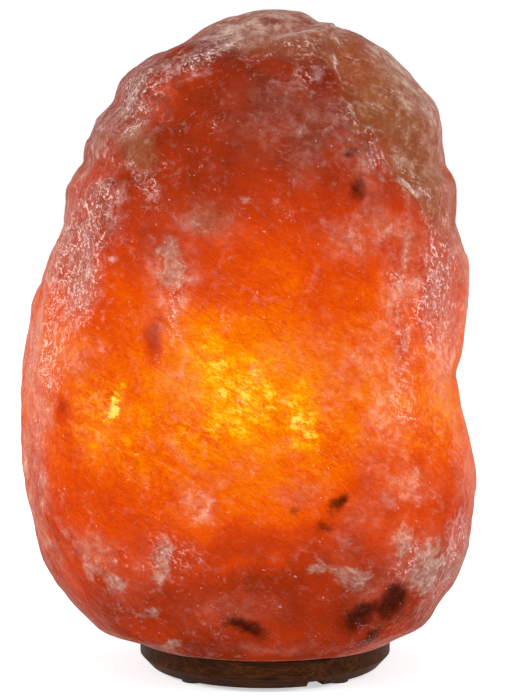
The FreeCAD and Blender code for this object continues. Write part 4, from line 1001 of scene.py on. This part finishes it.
def salt_finish():
    """Rock salt with the bulb's light in it. Where it glows, it gives out light of its own in place
    of what it would reflect. Pale skin and painted white glints hide the glow, and a dusty sheen
    lies over all."""
    material, tree, shader = new_material("rock_salt")
    salt = salt_patterns(tree)
    level = glow_level(tree, salt)
    dark = dark_share(tree, salt)
    inside = glow_colour(tree, salt, level, dark)
    pale = pale_share(tree, salt, dark)
    # white is the share of painted glints and highlights, whose colour is painted into the base colour.
    white = painted_glint_share(tree, salt)
    bleach = swayed(tree, salt["frost"], salt["wisps"], 0.9)
    # Pale skin is painted salmon where the bulb's light lies under it and grey away from it: painted light.
    unlit_grey = ramp(tree, bleach, (0.3, (138, 102, 88)), (0.5, (162, 130, 116)), (0.75, (194, 164, 150)))
    glow_lit_salmon = ramp(tree, bleach, (0.3, (176, 92, 60)), (0.5, (206, 122, 90)), (0.75, (234, 176, 152)))
    pale_skin = blend(tree, ranged(tree, level, 0.25, 0.75), unlit_grey, glow_lit_salmon)
    glow_share = ranged(tree, level, 0.0, 0.8, 0.38, 0.94)
    hidden = larger(tree, scaled(tree, pale, 0.8), scaled(tree, white, 0.5))
    lit_share = times(tree, glow_share, maths(tree, "SUBTRACT", 1.0, hidden))
    black = colour(0, 0, 0)
    skin = blend(tree, glow_share, inside, black)
    skin = blend(tree, pale, skin, pale_skin)
    connect(tree, shader, {
        # The base colour carries the painted white glints over the skin.
        "Base Color": blend(tree, white, skin, colour(246, 214, 206)),
        "Emission Color": blend(tree, lit_share, black, inside),
        "Emission Strength": 1.0,
        "Roughness": ranged(tree, salt["frost"], 0.3, 0.7, 0.34, 0.6),
        "Coat Weight": scaled(tree, salt["rough"], 0.3),
        "Coat Roughness": 0.2,
        "Sheen Weight": 0.8,
        "Sheen Roughness": 0.16,
        "Sheen Tint": colour(255, 226, 214),
        "Specular IOR Level": 0.0,
        "Normal": bumped(tree, crag_height(tree, salt), 0.0022, 0.9)})
    return material


def wood_finish():
    """Dark stained wood: long grain along X, darker in its pores."""
    material, tree, shader = new_material("stained_wood")
    along = placed(tree, (0.12, 1.0, 1.0))
    grain = noise(tree, along, 620.0, 5.0, 0.65, 1.2)
    broad = noise(tree, along, 120.0, 4.0, 0.6, 1.5)
    pores = ranged(tree, noise(tree, placed(tree, (0.2, 1.0, 1.0)), 1500.0, 2.0), 0.60, 0.72)
    tint = ramp(tree, joined(tree, times(tree, broad, 0.4), grain, 0.6),
                (0.30, (26, 10, 2)), (0.48, (54, 26, 8)), (0.66, (90, 50, 20)))
    height = joined(tree, grain, pores, -0.6)
    connect(tree, shader, {
        "Base Color": blend(tree, times(tree, pores, 0.7), tint, colour(20, 10, 5)),
        "Roughness": ranged(tree, grain, 0.3, 0.7, 0.42, 0.62),
        "Specular IOR Level": 0.04,
        "Normal": bumped(tree, height, 0.0004, 0.8)})
    return material


def drifting_tone_group():
    """The effect that the plain finishes share: a tint that drifts into a tone, a roughness that
    varies between two values, and a fine height."""
    group = bpy.data.node_groups.new("drifting_tone", "ShaderNodeTree")
    sockets = (("Tint", "Color", "INPUT"), ("Tone", "Color", "INPUT"),
               ("Stretch", "Vector", "INPUT"), ("Scale", "Float", "INPUT"),
               ("Low Roughness", "Float", "INPUT"), ("High Roughness", "Float", "INPUT"),
               ("Colour", "Color", "OUTPUT"), ("Roughness", "Float", "OUTPUT"),
               ("Height", "Float", "OUTPUT"))
    for name, kind, side in sockets:
        group.interface.new_socket(name, in_out=side, socket_type="NodeSocket" + kind)
    given = add(group, "NodeGroupInput").outputs
    source = add(group, "ShaderNodeTexCoord").outputs["Object"]
    place = add(group, "ShaderNodeMapping", {"Vector": source, "Scale": given["Stretch"]}).outputs[0]
    drift = ranged(group, noise(group, place, given["Scale"], 5.0, 0.6), 0.3, 0.7)
    fine = noise(group, place, scaled(group, given["Scale"], 9.0), 3.0, 0.6)
    rough = ranged(group, fine, 0.3, 0.7, given["Low Roughness"], given["High Roughness"])
    add(group, "NodeGroupOutput", {"Colour": blend(group, drift, given["Tint"], given["Tone"]),
                                   "Roughness": rough, "Height": fine})
    return group


DRIFTING_TONE = drifting_tone_group()


def plain_finish(name, tint, tone, scale, metallic=0.0, rough=(0.3, 0.5), depth=0.0001,
                 stretch=(1.0, 1.0, 1.0)):
    """A finish of one stuff through the shared group: its tint drifts into its tone, both as they
    show on screen."""
    material, tree, shader = new_material(name)
    given = {"Tint": colour(*tint), "Tone": colour(*tone), "Stretch": stretch, "Scale": scale,
             "Low Roughness": rough[0], "High Roughness": rough[1]}
    drift = add(tree, "ShaderNodeGroup", given, node_tree=DRIFTING_TONE).outputs
    connect(tree, shader, {
        "Base Color": drift["Colour"],
        "Roughness": drift["Roughness"],
        "Metallic": metallic,
        "Normal": bumped(tree, drift["Height"], depth)})
    return material


def glass_finish():
    """Clear blown glass."""
    material, tree, shader = new_material("clear_glass")
    drift = noise(tree, placed(tree), 60.0, 2.0)
    connect(tree, shader, {
        "Base Color": blend(tree, drift, colour(250, 246, 238), colour(255, 252, 246)),
        "Roughness": ranged(tree, drift, 0.3, 0.7, 0.02, 0.06),
        "Transmission Weight": 1.0,
        "IOR": 1.45})
    return material


def filament_finish():
    """Glowing wire, a little uneven along its length."""
    material, tree, shader = new_material("glowing_wire")
    drift = noise(tree, placed(tree), 900.0, 3.0)
    tint = ramp(tree, drift, (0.3, (255, 176, 80)), (0.7, (255, 226, 160)))
    connect(tree, shader, {
        "Base Color": tint,
        "Emission Color": tint,
        "Emission Strength": 4.0,
        "Roughness": ranged(tree, drift, 0.3, 0.7, 0.3, 0.5)})
    return material


# ---------------------------------------------------------------- stage
def set_camera():
    """The photograph's camera."""
    lens = bpy.data.cameras.new("camera")
    lens.sensor_width = SENSOR
    lens.lens = SENSOR * FOCAL_PIXELS / PHOTO_HEIGHT
    lens.clip_end = 50.0
    camera = bpy.data.objects.new("camera", lens)
    camera.location = [value * MM for value in CAMERA_PLACE]
    camera.rotation_euler = (math.pi / 2 - CAMERA_PITCH, 0.0, 0.0)
    bpy.context.scene.collection.objects.link(camera)
    bpy.context.scene.camera = camera


def area_light(name, place, aim, size, power):
    """A soft square lamp that faces a point."""
    light = bpy.data.lights.new(name, "AREA")
    light.size = size
    light.energy = power
    lamp = bpy.data.objects.new(name, light)
    lamp.location = place
    toward = np.array(aim) - np.array(place)
    tilt = math.atan2(math.hypot(toward[0], toward[1]), -toward[2])
    lamp.rotation_euler = (tilt, 0.0, math.atan2(toward[1], toward[0]) - math.pi / 2)
    bpy.context.scene.collection.objects.link(lamp)


def seen_directly(tree):
    """1 for what the camera sees, plainly, in a mirror or through glass."""
    path = add(tree, "ShaderNodeLightPath")
    seen = larger(tree, path.outputs["Is Camera Ray"], path.outputs["Is Transmission Ray"])
    return larger(tree, seen, path.outputs["Is Glossy Ray"])


def set_world():
    """Soft white light all round, and plain white where it is seen, in mirrors and in glass."""
    world = bpy.data.worlds.new("studio")
    world.use_nodes = True
    bpy.context.scene.world = world
    tree = world.node_tree
    tree.nodes.clear()
    strength = scaled(tree, seen_directly(tree), 0.5, 0.5)
    sky = add(tree, "ShaderNodeBackground", {"Color": (1.0, 1.0, 1.0, 1.0), "Strength": strength})
    add(tree, "ShaderNodeOutputWorld", {"Surface": sky.outputs[0]})


def set_floor():
    """A pale floor. It is white where the camera sees it, apart from the object's shadow, and
    clear from below."""
    half = 3.0
    corners = [(-half, -half, 0.0), (half, -half, 0.0), (half, half, 0.0), (-half, half, 0.0)]
    mesh = bpy.data.meshes.new("floor")
    mesh.from_pydata(corners, [], [(0, 1, 2, 3)])
    floor = bpy.data.objects.new("floor", mesh)
    bpy.context.scene.collection.objects.link(floor)
    material = bpy.data.materials.new("pale_floor")
    material.use_nodes = True
    tree = material.node_tree
    tree.nodes.clear()
    side = add(tree, "ShaderNodeNewGeometry")
    matt = add(tree, "ShaderNodeBsdfDiffuse", {"Color": (0.9, 0.9, 0.9, 1.0)})
    white = add(tree, "ShaderNodeEmission", {"Strength": scaled(tree, seen_directly(tree), 0.55)})
    clear = add(tree, "ShaderNodeBsdfTransparent")
    top = add(tree, "ShaderNodeAddShader", {0: matt.outputs[0], 1: white.outputs[0]})
    both = add(tree, "ShaderNodeMixShader",
               {0: side.outputs["Backfacing"], 1: top.outputs[0], 2: clear.outputs[0]})
    add(tree, "ShaderNodeOutputMaterial", {"Surface": both.outputs[0]})
    mesh.materials.append(material)


# ---------------------------------------------------------------- the lamp
bpy.context.scene.view_settings.view_transform = "Standard"
set_camera()
set_world()
set_floor()
area_light("left_soft_light", (-1.3, -0.5, 0.7), (0.0, 0.0, 0.15), 0.5, 14.0)
area_light("right_soft_light", (1.3, -0.4, 0.6), (0.0, 0.0, 0.15), 0.5, 13.0)
area_light("top_soft_light", (0.0, -0.2, 1.5), (0.0, 0.0, 0.2), 1.0, 8.0)

FINISHES = {
    "wood": wood_finish(),
    "rubber": plain_finish("matt_rubber", (34, 33, 33), (48, 47, 46), 90.0, rough=(0.7, 0.9)),
    "zinc_steel": plain_finish("zinc_steel", (188, 190, 192), (160, 162, 160), 200.0, 1.0,
                               (0.25, 0.45), 0.00003),
    "nylon": plain_finish("natural_nylon", (226, 222, 208), (210, 205, 190), 80.0),
    "spring_steel": plain_finish("spring_steel", (150, 152, 156), (120, 118, 122), 90.0, 1.0,
                                 (0.25, 0.5), 0.00003, (1.0, 1.0, 0.15)),
    "black_plastic": plain_finish("black_plastic", (12, 12, 13), (20, 20, 22), 60.0,
                                  rough=(0.32, 0.5), depth=0.00004),
    "ceramic_white": plain_finish("porcelain", (232, 229, 220), (216, 212, 200), 120.0,
                                  rough=(0.4, 0.6)),
    "brass": plain_finish("brass", (214, 178, 96), (176, 138, 70), 150.0, 1.0, (0.2, 0.42), 0.00003),
    "nickel": plain_finish("nickel", (206, 202, 194), (178, 173, 164), 150.0, 1.0, (0.18, 0.36),
                           0.00003),
    "solder": plain_finish("dull_solder", (158, 158, 160), (120, 120, 122), 500.0, 0.9, (0.35, 0.6)),
    "dark_glass": plain_finish("dark_glass", (30, 20, 40), (18, 14, 26), 200.0, rough=(0.08, 0.2)),
    "bulb_glass": glass_finish(),
    "tungsten": filament_finish(),
}
SLOT_OF = {part["node"]: part["material_slot"] for part in frame["record"]["subparts"]}
for node_name, node_object in NODES.items():
    finish = FINISHES.get(SLOT_OF[node_name])
    if finish:
        for socket in node_object.material_slots:
            socket.material = finish

new_piece("salt_lump", crystal_mesh(), "lamp", "salt", salt_finish(), "salt_crystal")
new_piece("threaded_bulb_cap", bulb_cap_mesh(), "bulb", "nickel", FINISHES["nickel"], "bulb_cap")
new_piece("threaded_shell", screw_shell_mesh(), "holder", "brass", FINISHES["brass"], "screw_shell")
new_piece("coiled_filament", filament_mesh(), "bulb", "tungsten", FINISHES["tungsten"], "filament")
